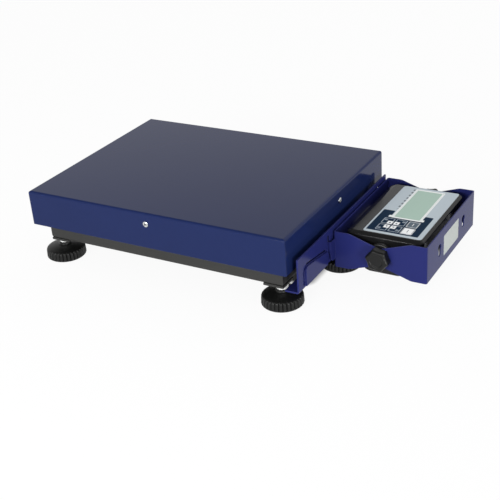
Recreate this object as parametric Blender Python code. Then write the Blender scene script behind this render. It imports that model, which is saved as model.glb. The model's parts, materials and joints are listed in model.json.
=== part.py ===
# Floor scale: a folded steel platform on a load cell, a tubular base frame on five
# levelling feet, and a tilting terminal in a sheet metal cradle hooked on a side bracket.
# Metres, +Z up. The design is drawn about the middle of the platform, and the root
# empty moves it so that the world origin is the middle of the footprint on the floor.
import math

import bmesh
import bpy
from mathutils import Matrix

# Clearance between pieces that touch
SEAT = 0.0003

# Levelling feet
FOOT_RADIUS = 0.0372
FOOT_SOLE_RADIUS = 0.034
FOOT_RIM_BOTTOM = 0.0025
FOOT_RIM_TOP = 0.017
FOOT_RIM_TAPER = 0.0008
FOOT_FLUTES = 32
FLUTE_DEPTH = 0.0013
FOOT_SHOULDER_RADIUS = 0.033
FOOT_SHOULDER_HEIGHT = 0.0195
FOOT_CONE_RADIUS = 0.0135
FOOT_CONE_HEIGHT = 0.0242
FOOT_HUB_RADIUS = 0.011
FOOT_HUB_FOOT = 0.025
FOOT_HUB_TAPER = 0.0005
FOOT_HUB_TOP = 0.031
STUD_RADIUS = 0.005
STUD_FLOOR_GAP = 0.009
STUD_ABOVE_PLATE = 0.014
BORE_CLEARANCE = 0.0004
FOOT_NUT_FLATS = 0.017
FOOT_NUT_HEIGHT = 0.0068
CORNER_FOOT_INSET_X = 0.0322
CORNER_FOOT_INSET_Y = 0.0413
FOOT_PLATE_SIDE = 0.038

# Platform
PLATFORM_LENGTH = 0.530
PLATFORM_WIDTH = 0.400
COVER_DEPTH = 0.0668
COVER_SHEET = 0.002
COVER_INNER_BEND = 0.0008
COVER_SCREW_RISE = 0.0466
COVER_SCREW_X = -0.005
COVER_SCREW_Y = 0.008
COVER_SCREW_HEAD_RADIUS = 0.0052
COVER_SCREW_HEAD_HEIGHT = 0.0025
COVER_SCREW_HEAD_EDGE = 0.0012
COVER_SCREW_CROWN_RADIUS = 0.0032
COVER_SCREW_RADIUS = 0.0024
COVER_SCREW_LENGTH = 0.009
WEIGHING_FRAME_INSET = 0.015
RAIL_WIDTH = 0.036
RAIL_DEPTH = 0.023
RAIL_WALL = 0.002
CROSSBAR_WIDTH = 0.046
CROSSBAR_OFFSET = 0.055
SCREW_BLOCK_WIDTH = 0.026
SCREW_BLOCK_HEIGHT = 0.013

# Base frame
BASE_INSET_X = 0.0196
BASE_INSET_Y = 0.0228
TUBE_SIDE = 0.040
TUBE_WALL = 0.002
TUBE_CORNER = 0.005
BEAM_WIDTH = 0.070
BEAM_HEIGHT = 0.026
BEAM_WALL = 0.003
BEAM_OFFSET = -0.050

# Load cell and its spacers
CELL_LENGTH = 0.150
CELL_WIDTH = 0.040
CELL_HEIGHT = 0.038
CELL_BORE_RADIUS = 0.0125
CELL_BORE_OFFSET = 0.0145
CELL_SLOT = 0.007
SPACER_LENGTH = 0.046
SPACER_WIDTH = 0.040
SPACER_THICKNESS = 0.006
CELL_BOLT_OFFSETS = (0.045, 0.065)
CELL_BOLT_RADIUS = 0.004
CELL_BOLT_HEAD_RADIUS = 0.0065
CELL_BOLT_HEAD_HEIGHT = 0.0045
CELL_BOLT_HEAD_SPARE = 0.0008
MOUNT_BLOCK_LENGTH = 0.044
MOUNT_BLOCK_WIDTH = 0.040
MOUNT_BLOCK_WEB = 0.008
CELL_BOLT_DEPTH = 0.014
CELL_HOLE_SPARE = 0.002

# Overload stops
STOP_RADIUS = 0.004
STOP_NUT_FLATS = 0.013
STOP_NUT_HEIGHT = 0.0065
WELD_SINK = 0.001
STOP_GAP = 0.001
STOP_INSET = 0.020

# Side bracket
BRACKET_GAP = 0.010
BRACKET_SHEET = 0.003
BRACKET_BEND = 0.004
BRACKET_FRONT_MARGIN = 0.0235
BRACKET_REAR_INSET = 0.005
BRACKET_HEIGHT = 0.0636
BRACKET_FLANGE = 0.026
BRACKET_TAB_REACH = 0.066
BRACKET_TAB_WIDTH = 0.060
BRACKET_TAB_OFFSET = 0.080
BRACKET_SCREW_RADIUS = 0.003
BRACKET_SCREW_HEAD_RADIUS = 0.0052
BRACKET_SCREW_HEAD_HEIGHT = 0.004
BRACKET_SCREW_LENGTH = 0.012
BRACKET_SCREW_INSET = 0.020
BRACKET_FOOT_INSET = 0.010
BUSH_RADIUS = 0.0062
BUSH_HEIGHT = 0.006

# Raised tongue on the bracket, in front of the cradle's first hook
TONGUE_LENGTH = 0.0815
TONGUE_HOOK_GAP = 0.010
TONGUE_FOOT = 0.0425
TONGUE_TOP_FRONT = 0.0775
TONGUE_TOP_REAR = 0.0675
TONGUE_CORNER = 0.0075
TONGUE_STEP = 0.003
TONGUE_FRONT_SLOT = 0.0055
TONGUE_TOP_SLOT = 0.003
TONGUE_SLOT_GAP = 0.0015

# Cradle
CRADLE_GAP = 0.0023
CRADLE_SIDE_GAP = 0.0125
CRADLE_END_GAP = 0.013
CRADLE_FRONT = -0.052
CRADLE_BOTTOM = 0.0257
CRADLE_HEIGHT = 0.0683
CRADLE_SHEET = 0.002
CRADLE_BEND = 0.003
NOTCH_SHOULDER = 0.0245
NOTCH_EASE = 0.0075
NOTCH_DEPTH = 0.0185
KEYHOLE_SPREAD = 0.061
KEYHOLE_HEAD_RADIUS = 0.0055
KEYHOLE_SLOT_RADIUS = 0.0032
KEYHOLE_DROP = 0.0099
KEYHOLE_RISE = 0.0056
LUG_REACH = 0.016
LUG_BOTTOM = 0.042
LUG_TOP = 0.080
LUG_CORNER = 0.006
HOOK_SHEET = 0.002
HOOK_REAR_INSET = 0.042
HOOK_SEAT = 0.060
HOOK_DROP = 0.010
HOOK_NOSE = 0.0045
HOOK_REACH = 0.012
HOOK_SIDE_GAP = 0.003
CRADLE_TRAVEL = 0.012

# Knobs on the tilt axis
KNOB_RADIUS = 0.0222
KNOB_WAIST = 0.0195
KNOB_THICKNESS = 0.0157
KNOB_EDGE = 0.0014
KNOB_FACE_EDGE = 0.0026
KNOB_DISH_RADIUS = 0.0115
KNOB_DISH_DEPTH = 0.0012
KNOB_PHASE = 50.0
KNOB_STUD_RADIUS = 0.004
PIVOT_HOLE_RADIUS = 0.0046
DISC_RADIUS = 0.021
DISC_EDGE = 0.0015
STUD_IN_CASE = 0.006

# Terminal case
CASE_LENGTH = 0.140
CASE_DEPTH = 0.214
CASE_CORNER = 0.012
CASE_TOP = 0.092
CASE_BOTTOM = 0.020
CASE_WALL = 0.0025
TOP_SHELL_FOOT = 0.075
RIM_EDGE_HEIGHT = 0.0042
RIM_EDGE_STEP = 0.0008
RIM_SLOPE_HEIGHT = 0.003
RIM_SLOPE_LEFT = 0.009
RIM_SLOPE_RIGHT = 0.006
RIM_SLOPE_FRONT = 0.009
RIM_SLOPE_REAR = 0.0044
RIM_CORNER = 0.0055
GASKET_THICKNESS = 0.0014
GASKET_INSET = 0.0008
GASKET_WIDTH = 0.0015
HULL_SIDE_FOOT = 0.062
HULL_LOWER = 0.024
HULL_FLAT_BORDER = 0.0041
HULL_FLAT_STEP = 0.005
HULL_END_STEP = 0.003
SCREW_COLUMN_SIDE_INSET = 0.012
SCREW_COLUMN_END_INSET = 0.014
SCREW_COLUMN_RADIUS = 0.006
CASE_SCREW_RADIUS = 0.0018
CASE_SCREW_HEAD_RADIUS = 0.0035
CASE_SCREW_HEAD_HEIGHT = 0.0025
CASE_SCREW_SEAT = 0.060
CASE_SCREW_TIP = 0.083
COLUMN_CLEARANCE = 0.0005

# Front panel, window and keys
PANEL_LEFT_MARGIN = 0.0275
PANEL_RIGHT_MARGIN = 0.0065
PANEL_FRONT_MARGIN = 0.012
PANEL_REAR_MARGIN = 0.005
PANEL_CORNER = 0.005
PANEL_THICKNESS = 0.0012
PANEL_LEDGE = 0.0045
LEDGE_THICKNESS = 0.0022
WINDOW_LENGTH = 0.050
WINDOW_OFFSET = 0.001
WINDOW_REAR_MARGIN = 0.0095
WINDOW_KEY_GAP = 0.00675
WINDOW_CORNER = 0.0015
MODULE_SIDE_MARGIN = 0.004
MODULE_END_MARGIN = 0.0025
MODULE_THICKNESS = 0.0075
KEY_COLUMNS = 3
KEY_ROWS = 2
KEY_LENGTH = 0.0206
KEY_DEPTH = 0.0225
KEY_PITCH_X = 0.023
KEY_PITCH_Y = 0.0255
KEYS_OFFSET = -0.0025
KEYS_FRONT_MARGIN = 0.01175
KEY_CORNER = 0.0015
KEY_GAP = 0.0004
KEY_PROUD = 0.0003
KEY_THICKNESS = 0.0024
KEY_TRAVEL = 0.0005
KEY_SPARE = 0.0001
MAT_MARGIN = 0.002
BOARD_LEFT_MARGIN = 0.016
BOARD_RIGHT_MARGIN = 0.005
BOARD_GAP = 0.001
BOARD_THICKNESS = 0.0016
BOARD_COLUMN_RADIUS = 0.0025
BOARD_COLUMN_LEFT_INSET = 0.020
BOARD_COLUMN_RIGHT_INSET = 0.0075
BOARD_COLUMN_END_INSET = 0.026

# Inside the lower shell
BATTERY_LENGTH = 0.047
BATTERY_DEPTH = 0.100
BATTERY_HEIGHT = 0.040
DOOR_MARGIN = 0.003
DOOR_GAP = 0.0004

# Cable glands
GLAND_SHANK_RADIUS = 0.006
GLAND_FLATS = 0.016
GLAND_HEX_HEIGHT = 0.005
GLAND_DOME_RADIUS = 0.007
GLAND_DOME_HEIGHT = 0.007
GLAND_DOME_EDGE = 0.003
GLAND_BORE_RADIUS = 0.003
GLAND_SHANK_LENGTH = 0.006
GLAND_END_INSET = 0.027
FRAME_GLAND_Y = 0.100

# Heights that stack from the floor. The foot plates reach down as far as the bracket's
# flange, so that all five feet stand level
FOOT_PLATE_BOTTOM = FOOT_HUB_TOP + SEAT + FOOT_NUT_HEIGHT + SEAT
BASE_BOTTOM = FOOT_PLATE_BOTTOM + BRACKET_SHEET + SEAT
BASE_TOP = BASE_BOTTOM + TUBE_SIDE
BEAM_TOP = BASE_BOTTOM + BEAM_HEIGHT
LOWER_SPACER_BOTTOM = BEAM_TOP + SEAT
CELL_BOTTOM = LOWER_SPACER_BOTTOM + SPACER_THICKNESS + SEAT
CELL_TOP = CELL_BOTTOM + CELL_HEIGHT
UPPER_SPACER_BOTTOM = CELL_TOP + SEAT
RAIL_BOTTOM = UPPER_SPACER_BOTTOM + SPACER_THICKNESS + SEAT
RAIL_TOP = RAIL_BOTTOM + RAIL_DEPTH
PLATFORM_TOP = RAIL_TOP + SEAT + COVER_SHEET
COVER_BOTTOM = PLATFORM_TOP - COVER_DEPTH
COVER_SCREW_Z = COVER_BOTTOM + COVER_SCREW_RISE

BOARD_TOP = CASE_TOP - PANEL_THICKNESS - SEAT - MODULE_THICKNESS - SEAT

# Places along X and Y that follow from the sizes
HALF_LENGTH = PLATFORM_LENGTH / 2
HALF_WIDTH = PLATFORM_WIDTH / 2
FRAME_HALF_LENGTH = HALF_LENGTH - WEIGHING_FRAME_INSET
FRAME_HALF_WIDTH = HALF_WIDTH - WEIGHING_FRAME_INSET
BASE_HALF_X = HALF_LENGTH - BASE_INSET_X
BASE_HALF_Y = HALF_WIDTH - BASE_INSET_Y
CORNER_FOOT_X = HALF_LENGTH - CORNER_FOOT_INSET_X
CORNER_FOOT_Y = HALF_WIDTH - CORNER_FOOT_INSET_Y
BRACKET_INNER = HALF_LENGTH + BRACKET_GAP
BRACKET_OUTER = BRACKET_INNER + BRACKET_SHEET
BRACKET_TOP = FOOT_PLATE_BOTTOM + BRACKET_HEIGHT
BRACKET_FOOT_X = BRACKET_OUTER - BRACKET_FOOT_INSET
CRADLE_LENGTH = CASE_LENGTH + 2 * (CRADLE_SIDE_GAP + CRADLE_SHEET)
CRADLE_DEPTH = CASE_DEPTH + 2 * (CRADLE_END_GAP + CRADLE_SHEET)
CRADLE_LEFT = BRACKET_OUTER + CRADLE_GAP
CRADLE_RIGHT = CRADLE_LEFT + CRADLE_LENGTH
CRADLE_REAR = CRADLE_FRONT + CRADLE_DEPTH
CRADLE_TOP = CRADLE_BOTTOM + CRADLE_HEIGHT
HOOK_FRONT = CRADLE_FRONT - LUG_REACH
HOOK_REAR = CRADLE_REAR - HOOK_REAR_INSET
TONGUE_REAR = HOOK_FRONT - TONGUE_HOOK_GAP
TONGUE_FRONT = TONGUE_REAR - TONGUE_LENGTH
BRACKET_FRONT = TONGUE_FRONT - BRACKET_FRONT_MARGIN
BRACKET_REAR = CRADLE_REAR - BRACKET_REAR_INSET
BRACKET_MIDDLE = (BRACKET_FRONT + BRACKET_REAR) / 2
PIVOT_X = (CRADLE_LEFT + CRADLE_RIGHT) / 2
PIVOT_Y = (CRADLE_FRONT + CRADLE_REAR) / 2
PIVOT_Z = CRADLE_BOTTOM + CRADLE_HEIGHT / 2
KNOB_REACH = SEAT + KNOB_THICKNESS

# Sizes and places in the terminal, about the middle of its case
PANEL_LENGTH = CASE_LENGTH - PANEL_LEFT_MARGIN - PANEL_RIGHT_MARGIN
PANEL_DEPTH = CASE_DEPTH - PANEL_FRONT_MARGIN - PANEL_REAR_MARGIN
PANEL_X = (PANEL_LEFT_MARGIN - PANEL_RIGHT_MARGIN) / 2
PANEL_Y = (PANEL_FRONT_MARGIN - PANEL_REAR_MARGIN) / 2
KEYS_DEPTH = (KEY_ROWS - 1) * KEY_PITCH_Y + KEY_DEPTH
KEYS_FRONT = PANEL_Y - PANEL_DEPTH / 2 + KEYS_FRONT_MARGIN
KEY_FIRST_X = PANEL_X + KEYS_OFFSET - (KEY_COLUMNS - 1) * KEY_PITCH_X / 2
KEY_FIRST_Y = KEYS_FRONT + KEY_DEPTH / 2
WINDOW_FRONT = KEYS_FRONT + KEYS_DEPTH + WINDOW_KEY_GAP
WINDOW_REAR = PANEL_Y + PANEL_DEPTH / 2 - WINDOW_REAR_MARGIN
WINDOW_DEPTH = WINDOW_REAR - WINDOW_FRONT
WINDOW_X = PANEL_X + WINDOW_OFFSET
WINDOW_Y = (WINDOW_FRONT + WINDOW_REAR) / 2
SCREW_COLUMN_X = CASE_LENGTH / 2 - SCREW_COLUMN_SIDE_INSET
SCREW_COLUMN_Y = CASE_DEPTH / 2 - SCREW_COLUMN_END_INSET
BOARD_HALF_DEPTH = SCREW_COLUMN_Y - SCREW_COLUMN_RADIUS - BOARD_GAP
BOARD_COLUMN_X = (BOARD_COLUMN_LEFT_INSET - CASE_LENGTH / 2, CASE_LENGTH / 2 - BOARD_COLUMN_RIGHT_INSET)
BOARD_COLUMN_Y = BOARD_HALF_DEPTH - BOARD_COLUMN_END_INSET
HULL_FLAT_HALF_LENGTH = BATTERY_LENGTH / 2 + DOOR_MARGIN + DOOR_GAP + HULL_FLAT_BORDER
HULL_HALF_LENGTH = HULL_FLAT_HALF_LENGTH + HULL_FLAT_STEP
GLAND_Y = CASE_DEPTH / 2 - GLAND_END_INSET

# The footprint's middle, which the root empty brings to the world origin
SCREW_REACH = SEAT + COVER_SCREW_HEAD_HEIGHT
LEFT_REACH = max(HALF_LENGTH + SCREW_REACH, CORNER_FOOT_X + FOOT_RADIUS)
FRONT_REACH = max(HALF_WIDTH + SCREW_REACH, CORNER_FOOT_Y + FOOT_RADIUS)
FOOTPRINT_X = (CRADLE_RIGHT - LEFT_REACH) / 2
FOOTPRINT_Y = (CRADLE_REAR + KNOB_REACH - FRONT_REACH) / 2

FINISHES = {
    "platform_paint": ((0.028, 0.043, 0.150), 0.30, 0.0),
    "bracket_paint": ((0.060, 0.050, 0.220), 0.35, 0.0),
    "frame_paint": ((0.050, 0.050, 0.048), 0.60, 0.0),
    "black_plastic": ((0.020, 0.020, 0.021), 0.50, 0.0),
    "case_plastic": ((0.060, 0.060, 0.060), 0.50, 0.0),
    "zinc": ((0.62, 0.63, 0.64), 0.30, 1.0),
    "aluminium": ((0.70, 0.71, 0.72), 0.35, 1.0),
    "rubber": ((0.015, 0.015, 0.015), 0.80, 0.0),
    "panel_film": ((0.58, 0.60, 0.62), 0.40, 0.0),
    "window_film": ((0.38, 0.50, 0.42), 0.20, 0.0),
    "key_film": ((0.010, 0.060, 0.130), 0.35, 0.0),
    "board": ((0.020, 0.120, 0.050), 0.50, 0.0),
    "battery_wrap": ((0.05, 0.05, 0.06), 0.45, 0.0),
}


# Scene helpers

def clear_scene():
    for old in list(bpy.data.objects):
        bpy.data.objects.remove(old, do_unlink=True)


def finish_material(finish):
    material = bpy.data.materials.get(finish)
    if material is None:
        colour, roughness, metallic = FINISHES[finish]
        material = bpy.data.materials.new(finish)
        material.use_nodes = True
        shader = material.node_tree.nodes["Principled BSDF"]
        shader.inputs["Base Color"].default_value = (*colour, 1.0)
        shader.inputs["Roughness"].default_value = roughness
        shader.inputs["Metallic"].default_value = metallic
    return material


def add_empty(name, location, parent=None):
    empty = bpy.data.objects.new(name, None)
    empty.location = location
    empty.parent = parent
    bpy.context.collection.objects.link(empty)
    return empty


def add_object(name, bm, parent, location=(0.0, 0.0, 0.0)):
    bmesh.ops.recalc_face_normals(bm, faces=bm.faces)
    mesh = bpy.data.meshes.new(name)
    bm.to_mesh(mesh)
    bm.free()
    mesh.shade_smooth()
    mesh.set_sharp_from_angle(angle=math.radians(30))
    thing = bpy.data.objects.new(name, mesh)
    thing.location = location
    thing.parent = parent
    bpy.context.collection.objects.link(thing)
    return thing


def add_piece(name, bm, finish, parent, location=(0.0, 0.0, 0.0)):
    piece = add_object(name, bm, parent, location)
    piece.data.materials.append(finish_material(finish))
    return piece


def add_tool(piece, bm, operation, step):
    tool = add_object(piece.name + "_" + step, bm, piece.parent, piece.location)
    tool.hide_render = True
    tool.display_type = "WIRE"
    modifier = piece.modifiers.new(step, "BOOLEAN")
    modifier.operation = operation
    modifier.solver = "EXACT"
    modifier.object = tool


def cut(piece, bm, step="cuts"):
    add_tool(piece, bm, "DIFFERENCE", step)


def join(piece, bm, step="joined"):
    add_tool(piece, bm, "UNION", step)


# Shape helpers: outlines are lists of (u, v), and a prism runs along the named axis

def rounded_outline(half_u, half_v, radius, steps=3, u=0.0, v=0.0):
    signs = ((1, 1), (-1, 1), (-1, -1), (1, -1))
    points = []
    for quarter, (side_u, side_v) in enumerate(signs):
        for step in range(steps + 1):
            angle = math.radians(90 * (quarter + step / steps))
            points.append((u + side_u * (half_u - radius) + radius * math.cos(angle),
                           v + side_v * (half_v - radius) + radius * math.sin(angle)))
    return points


def box_outline(u_low, u_high, v_low, v_high):
    return [(u_low, v_low), (u_high, v_low), (u_high, v_high), (u_low, v_high)]


def circle_outline(radius, steps, u=0.0, v=0.0, phase=0.0):
    turns = [2 * math.pi * step / steps + phase for step in range(steps)]
    return [(u + radius * math.cos(turn), v + radius * math.sin(turn)) for turn in turns]


def hexagon_outline(flats, u=0.0, v=0.0):
    return circle_outline(flats / math.sqrt(3), 6, u, v)


def prism(bm, axis, outline, low, high, holes=()):
    place = {"X": lambda u, v, w: (w, u, v),
             "Y": lambda u, v, w: (u, w, v),
             "Z": lambda u, v, w: (u, v, w)}[axis]
    edges = []
    for loop in (outline, *holes):
        ring = [bm.verts.new(place(u, v, low)) for u, v in loop]
        edges += [bm.edges.new(pair) for pair in zip(ring, ring[1:] + ring[:1])]
    filled = bmesh.ops.triangle_fill(bm, edges=edges, use_beauty=True)["geom"]
    faces = [item for item in filled if isinstance(item, bmesh.types.BMFace)]
    raised = bmesh.ops.extrude_face_region(bm, geom=faces)["geom"]
    vertices = [item for item in raised if isinstance(item, bmesh.types.BMVert)]
    bmesh.ops.translate(bm, verts=vertices, vec=place(0.0, 0.0, high - low))


def box(bm, x_low, x_high, y_low, y_high, z_low, z_high):
    prism(bm, "Z", box_outline(x_low, x_high, y_low, y_high), z_low, z_high)


def loft(bm, rows, closed=False):
    rings = [[bm.verts.new(point) for point in row] for row in rows]
    pairs = list(zip(rings, rings[1:]))
    if closed:
        pairs.append((rings[-1], rings[0]))
    for lower, upper in pairs:
        for here, after in zip(range(len(lower)), [*range(1, len(lower)), 0]):
            bm.faces.new((lower[here], lower[after], upper[after], upper[here]))
    if not closed:
        bm.faces.new(rings[0])
        bm.faces.new(rings[-1])


def level(outline, z):
    return [(x, y, z) for x, y in outline]


def turn_profile(bm, profile, steps, closed=False):
    """profile: (radius, z) pairs, where a radius of 0 is a point on the axis."""
    rings = []
    for radius, z in profile:
        if radius == 0:
            rings.append([bm.verts.new((0.0, 0.0, z))])
        else:
            rings.append([bm.verts.new(point) for point in level(circle_outline(radius, steps), z)])
    pairs = list(zip(rings, rings[1:]))
    if closed:
        pairs.append((rings[-1], rings[0]))
    for lower, upper in pairs:
        join_rings(bm, lower, upper)


def join_rings(bm, first, second):
    # The finer ring has a whole number of points for each point of the coarser one
    fine, coarse = (first, second) if len(first) >= len(second) else (second, first)
    share = len(fine) // len(coarse)
    for index, point in enumerate(coarse):
        following = coarse[(index + 1) % len(coarse)]
        middle = index * share + share // 2
        for step in range(index * share, (index + 1) * share):
            here, after = fine[step], fine[(step + 1) % len(fine)]
            apex = point if step < middle or len(coarse) == 1 else following
            bm.faces.new((here, after, apex))
        if len(coarse) > 1:
            bm.faces.new((point, fine[middle % len(fine)], following))


def turned(profile, steps, closed=False):
    bm = bmesh.new()
    turn_profile(bm, profile, steps, closed)
    return bm


def quarter_turns(bm, axis, degrees):
    bmesh.ops.transform(bm, matrix=Matrix.Rotation(math.radians(degrees), 4, axis), verts=bm.verts)


def nut(bm, flats, bore, x, y, low, high):
    prism(bm, "Z", hexagon_outline(flats, x, y), low, high, [circle_outline(bore, 12, x, y)])


def rod(bm, axis, radius, u, v, low, high, steps=12):
    prism(bm, axis, circle_outline(radius, steps, u, v), low, high)


# Levelling feet

def corner_foot_places():
    return {"front_left": (-CORNER_FOOT_X, -CORNER_FOOT_Y),
            "front_right": (CORNER_FOOT_X, -CORNER_FOOT_Y),
            "rear_left": (-CORNER_FOOT_X, CORNER_FOOT_Y),
            "rear_right": (CORNER_FOOT_X, CORNER_FOOT_Y)}


def foot_places():
    places = corner_foot_places()
    places["bracket"] = (BRACKET_FOOT_X, BRACKET_MIDDLE)
    return places


def foot_pad_mesh():
    # V flutes round the rim: every second point of the fine rings is pulled in
    fine = 2 * FOOT_FLUTES
    coarse = fine // 4
    bore = STUD_RADIUS + BORE_CLEARANCE
    rows = [(0.0, 0.0, 1, False),
            (FOOT_SOLE_RADIUS, 0.0, fine, False),
            (FOOT_RADIUS, FOOT_RIM_BOTTOM, fine, True),
            (FOOT_RADIUS - FOOT_RIM_TAPER, FOOT_RIM_TOP, fine, True),
            (FOOT_SHOULDER_RADIUS, FOOT_SHOULDER_HEIGHT, fine // 2, False),
            (FOOT_CONE_RADIUS, FOOT_CONE_HEIGHT, coarse, False),
            (FOOT_HUB_RADIUS, FOOT_HUB_FOOT, coarse, False),
            (FOOT_HUB_RADIUS - FOOT_HUB_TAPER, FOOT_HUB_TOP, coarse, False),
            (bore, FOOT_HUB_TOP, coarse, False),
            (bore, STUD_FLOOR_GAP - SEAT, coarse, False),
            (0.0, STUD_FLOOR_GAP - SEAT, 1, False)]
    bm = bmesh.new()
    rings = []
    for radius, z, count, fluted in rows:
        if count == 1:
            rings.append([bm.verts.new((0.0, 0.0, z))])
            continue
        ring = []
        for index, (x, y) in enumerate(circle_outline(radius, count)):
            share = 1.0 - (FLUTE_DEPTH / FOOT_RADIUS if fluted and index % 2 else 0.0)
            ring.append(bm.verts.new((x * share, y * share, z)))
        rings.append(ring)
    for lower, upper in zip(rings, rings[1:]):
        join_rings(bm, lower, upper)
    return bm


def make_feet(root):
    stud_top = BASE_BOTTOM + STUD_ABOVE_PLATE
    for place, (x, y) in foot_places().items():
        axis = add_empty("foot_axis_" + place, (x, y, 0.0), root)
        add_piece("foot_pad_" + place, foot_pad_mesh(), "black_plastic", axis)
        top = BASE_BOTTOM + BUSH_HEIGHT if place == "bracket" else stud_top
        bm = bmesh.new()
        rod(bm, "Z", STUD_RADIUS, 0.0, 0.0, STUD_FLOOR_GAP, top)
        add_piece("foot_stud_" + place, bm, "zinc", axis)
        bm = bmesh.new()
        low = FOOT_HUB_TOP + SEAT
        nut(bm, FOOT_NUT_FLATS, STUD_RADIUS + SEAT, 0.0, 0.0, low, low + FOOT_NUT_HEIGHT)
        add_piece("foot_nut_" + place, bm, "zinc", root, (x, y, 0.0))


# Base frame

def frame_ring(bm, inset):
    # A square tube section carried round the frame, mitred at the corners
    half = TUBE_SIDE / 2
    section = rounded_outline(half - inset, half - inset, max(TUBE_CORNER - inset, 0.001), 2)
    centre_z = BASE_BOTTOM + half
    rows = []
    for side_x, side_y in ((1, 1), (-1, 1), (-1, -1), (1, -1)):
        rows.append([(side_x * (BASE_HALF_X - half + out), side_y * (BASE_HALF_Y - half + out),
                      centre_z + up) for out, up in section])
    loft(bm, rows, closed=True)


def stop_places():
    reach_x = BASE_HALF_X - STOP_INSET
    reach_y = BASE_HALF_Y - STOP_INSET
    return [(x, y) for x in (-reach_x, reach_x) for y in (-reach_y, reach_y)]


def bracket_screw_places():
    x = BASE_HALF_X - BRACKET_SCREW_INSET
    return {"front": (x, BRACKET_MIDDLE - BRACKET_TAB_OFFSET),
            "rear": (x, BRACKET_MIDDLE + BRACKET_TAB_OFFSET)}


def foot_plate_outline(x, y):
    # Flush with the frame's outer corner nearest to the foot
    half = FOOT_PLATE_SIDE / 2
    middle_x = math.copysign(BASE_HALF_X - half, x)
    middle_y = math.copysign(BASE_HALF_Y - half, y)
    return box_outline(middle_x - half, middle_x + half, middle_y - half, middle_y + half)


def hexagon_ring(flats, x=0.0, y=0.0):
    # Six corners and the middles of the six sides
    points = []
    for index, (u, v) in enumerate(circle_outline(flats / math.sqrt(3), 12)):
        share = math.cos(math.pi / 6) if index % 2 else 1.0
        points.append((x + u * share, y + v * share))
    return points


def make_base_frame(root):
    bm = bmesh.new()
    frame_ring(bm, 0.0)
    frame = add_piece("base_frame", bm, "frame_paint", root)
    inside = bmesh.new()
    frame_ring(inside, TUBE_WALL)
    cut(frame, inside, "hollow")
    # Foot plates and overload stops are welded on
    welded = bmesh.new()
    for x, y in corner_foot_places().values():
        prism(welded, "Z", foot_plate_outline(x, y), FOOT_PLATE_BOTTOM, BASE_BOTTOM + WELD_SINK)
    stop_top = RAIL_BOTTOM - STOP_GAP
    for x, y in stop_places():
        collar, shank = hexagon_ring(STOP_NUT_FLATS, x, y), circle_outline(STOP_RADIUS, 12, x, y)
        loft(welded, [level(collar, BASE_TOP - WELD_SINK), level(collar, BASE_TOP + STOP_NUT_HEIGHT),
                      level(shank, BASE_TOP + STOP_NUT_HEIGHT), level(shank, stop_top)])
    join(frame, welded)
    cuts = bmesh.new()
    half = TUBE_SIDE / 2
    for x, y in corner_foot_places().values():
        rod(cuts, "Z", STUD_RADIUS + BORE_CLEARANCE, x, y, BASE_BOTTOM - half, BASE_BOTTOM + half)
    for x, y in bracket_screw_places().values():
        rod(cuts, "Z", BRACKET_SCREW_RADIUS + BORE_CLEARANCE, x, y,
            BASE_BOTTOM - half, BASE_BOTTOM + half / 2)
    gland_z = BASE_BOTTOM + half
    rod(cuts, "X", GLAND_SHANK_RADIUS + BORE_CLEARANCE, FRAME_GLAND_Y, gland_z,
        BASE_HALF_X - half / 2, BASE_HALF_X + half)
    cut(frame, cuts, "holes")


def make_load_cell_beam(root):
    # A channel open below, its ends against the frame's long tubes
    reach = BASE_HALF_Y - TUBE_SIDE - SEAT
    low, high = BEAM_OFFSET - BEAM_WIDTH / 2, BEAM_OFFSET + BEAM_WIDTH / 2
    outline = [(low, BASE_BOTTOM), (low + BEAM_WALL, BASE_BOTTOM),
               (low + BEAM_WALL, BEAM_TOP - BEAM_WALL), (high - BEAM_WALL, BEAM_TOP - BEAM_WALL),
               (high - BEAM_WALL, BASE_BOTTOM), (high, BASE_BOTTOM),
               (high, BEAM_TOP), (low, BEAM_TOP)]
    bm = bmesh.new()
    prism(bm, "Y", outline, -reach, reach)
    beam = add_piece("load_cell_beam", bm, "frame_paint", root)
    cuts = bmesh.new()
    for x, y in cell_bolt_places(-1):
        rod(cuts, "Z", CELL_BOLT_RADIUS + BORE_CLEARANCE, x, y,
            BEAM_TOP - 2 * BEAM_WALL, BEAM_TOP + BEAM_WALL)
    cut(beam, cuts)


def gland_mesh():
    # Shank, hexagon and domed nut with a bore, along +Z from the wall's outer face
    bore, shank = circle_outline(GLAND_BORE_RADIUS, 12), circle_outline(GLAND_SHANK_RADIUS, 12)
    dome = circle_outline(GLAND_DOME_RADIUS, 12)
    hexagon = hexagon_ring(GLAND_FLATS)
    dome_top = GLAND_HEX_HEIGHT + GLAND_DOME_HEIGHT
    bm = bmesh.new()
    loft(bm, [level(bore, -GLAND_SHANK_LENGTH), level(shank, -GLAND_SHANK_LENGTH),
              level(shank, SEAT), level(hexagon, SEAT), level(hexagon, GLAND_HEX_HEIGHT),
              level(dome, GLAND_HEX_HEIGHT), level(dome, dome_top - GLAND_DOME_EDGE),
              level(bore, dome_top)], closed=True)
    return bm


def make_frame_gland(root):
    bm = gland_mesh()
    quarter_turns(bm, "Y", 90)
    place = (BASE_HALF_X, FRAME_GLAND_Y, BASE_BOTTOM + TUBE_SIDE / 2)
    add_piece("frame_gland", bm, "black_plastic", root, place)


# Load cell

def cell_bolt_places(side):
    return [(side * x, 0.0) for x in CELL_BOLT_OFFSETS]


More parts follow.
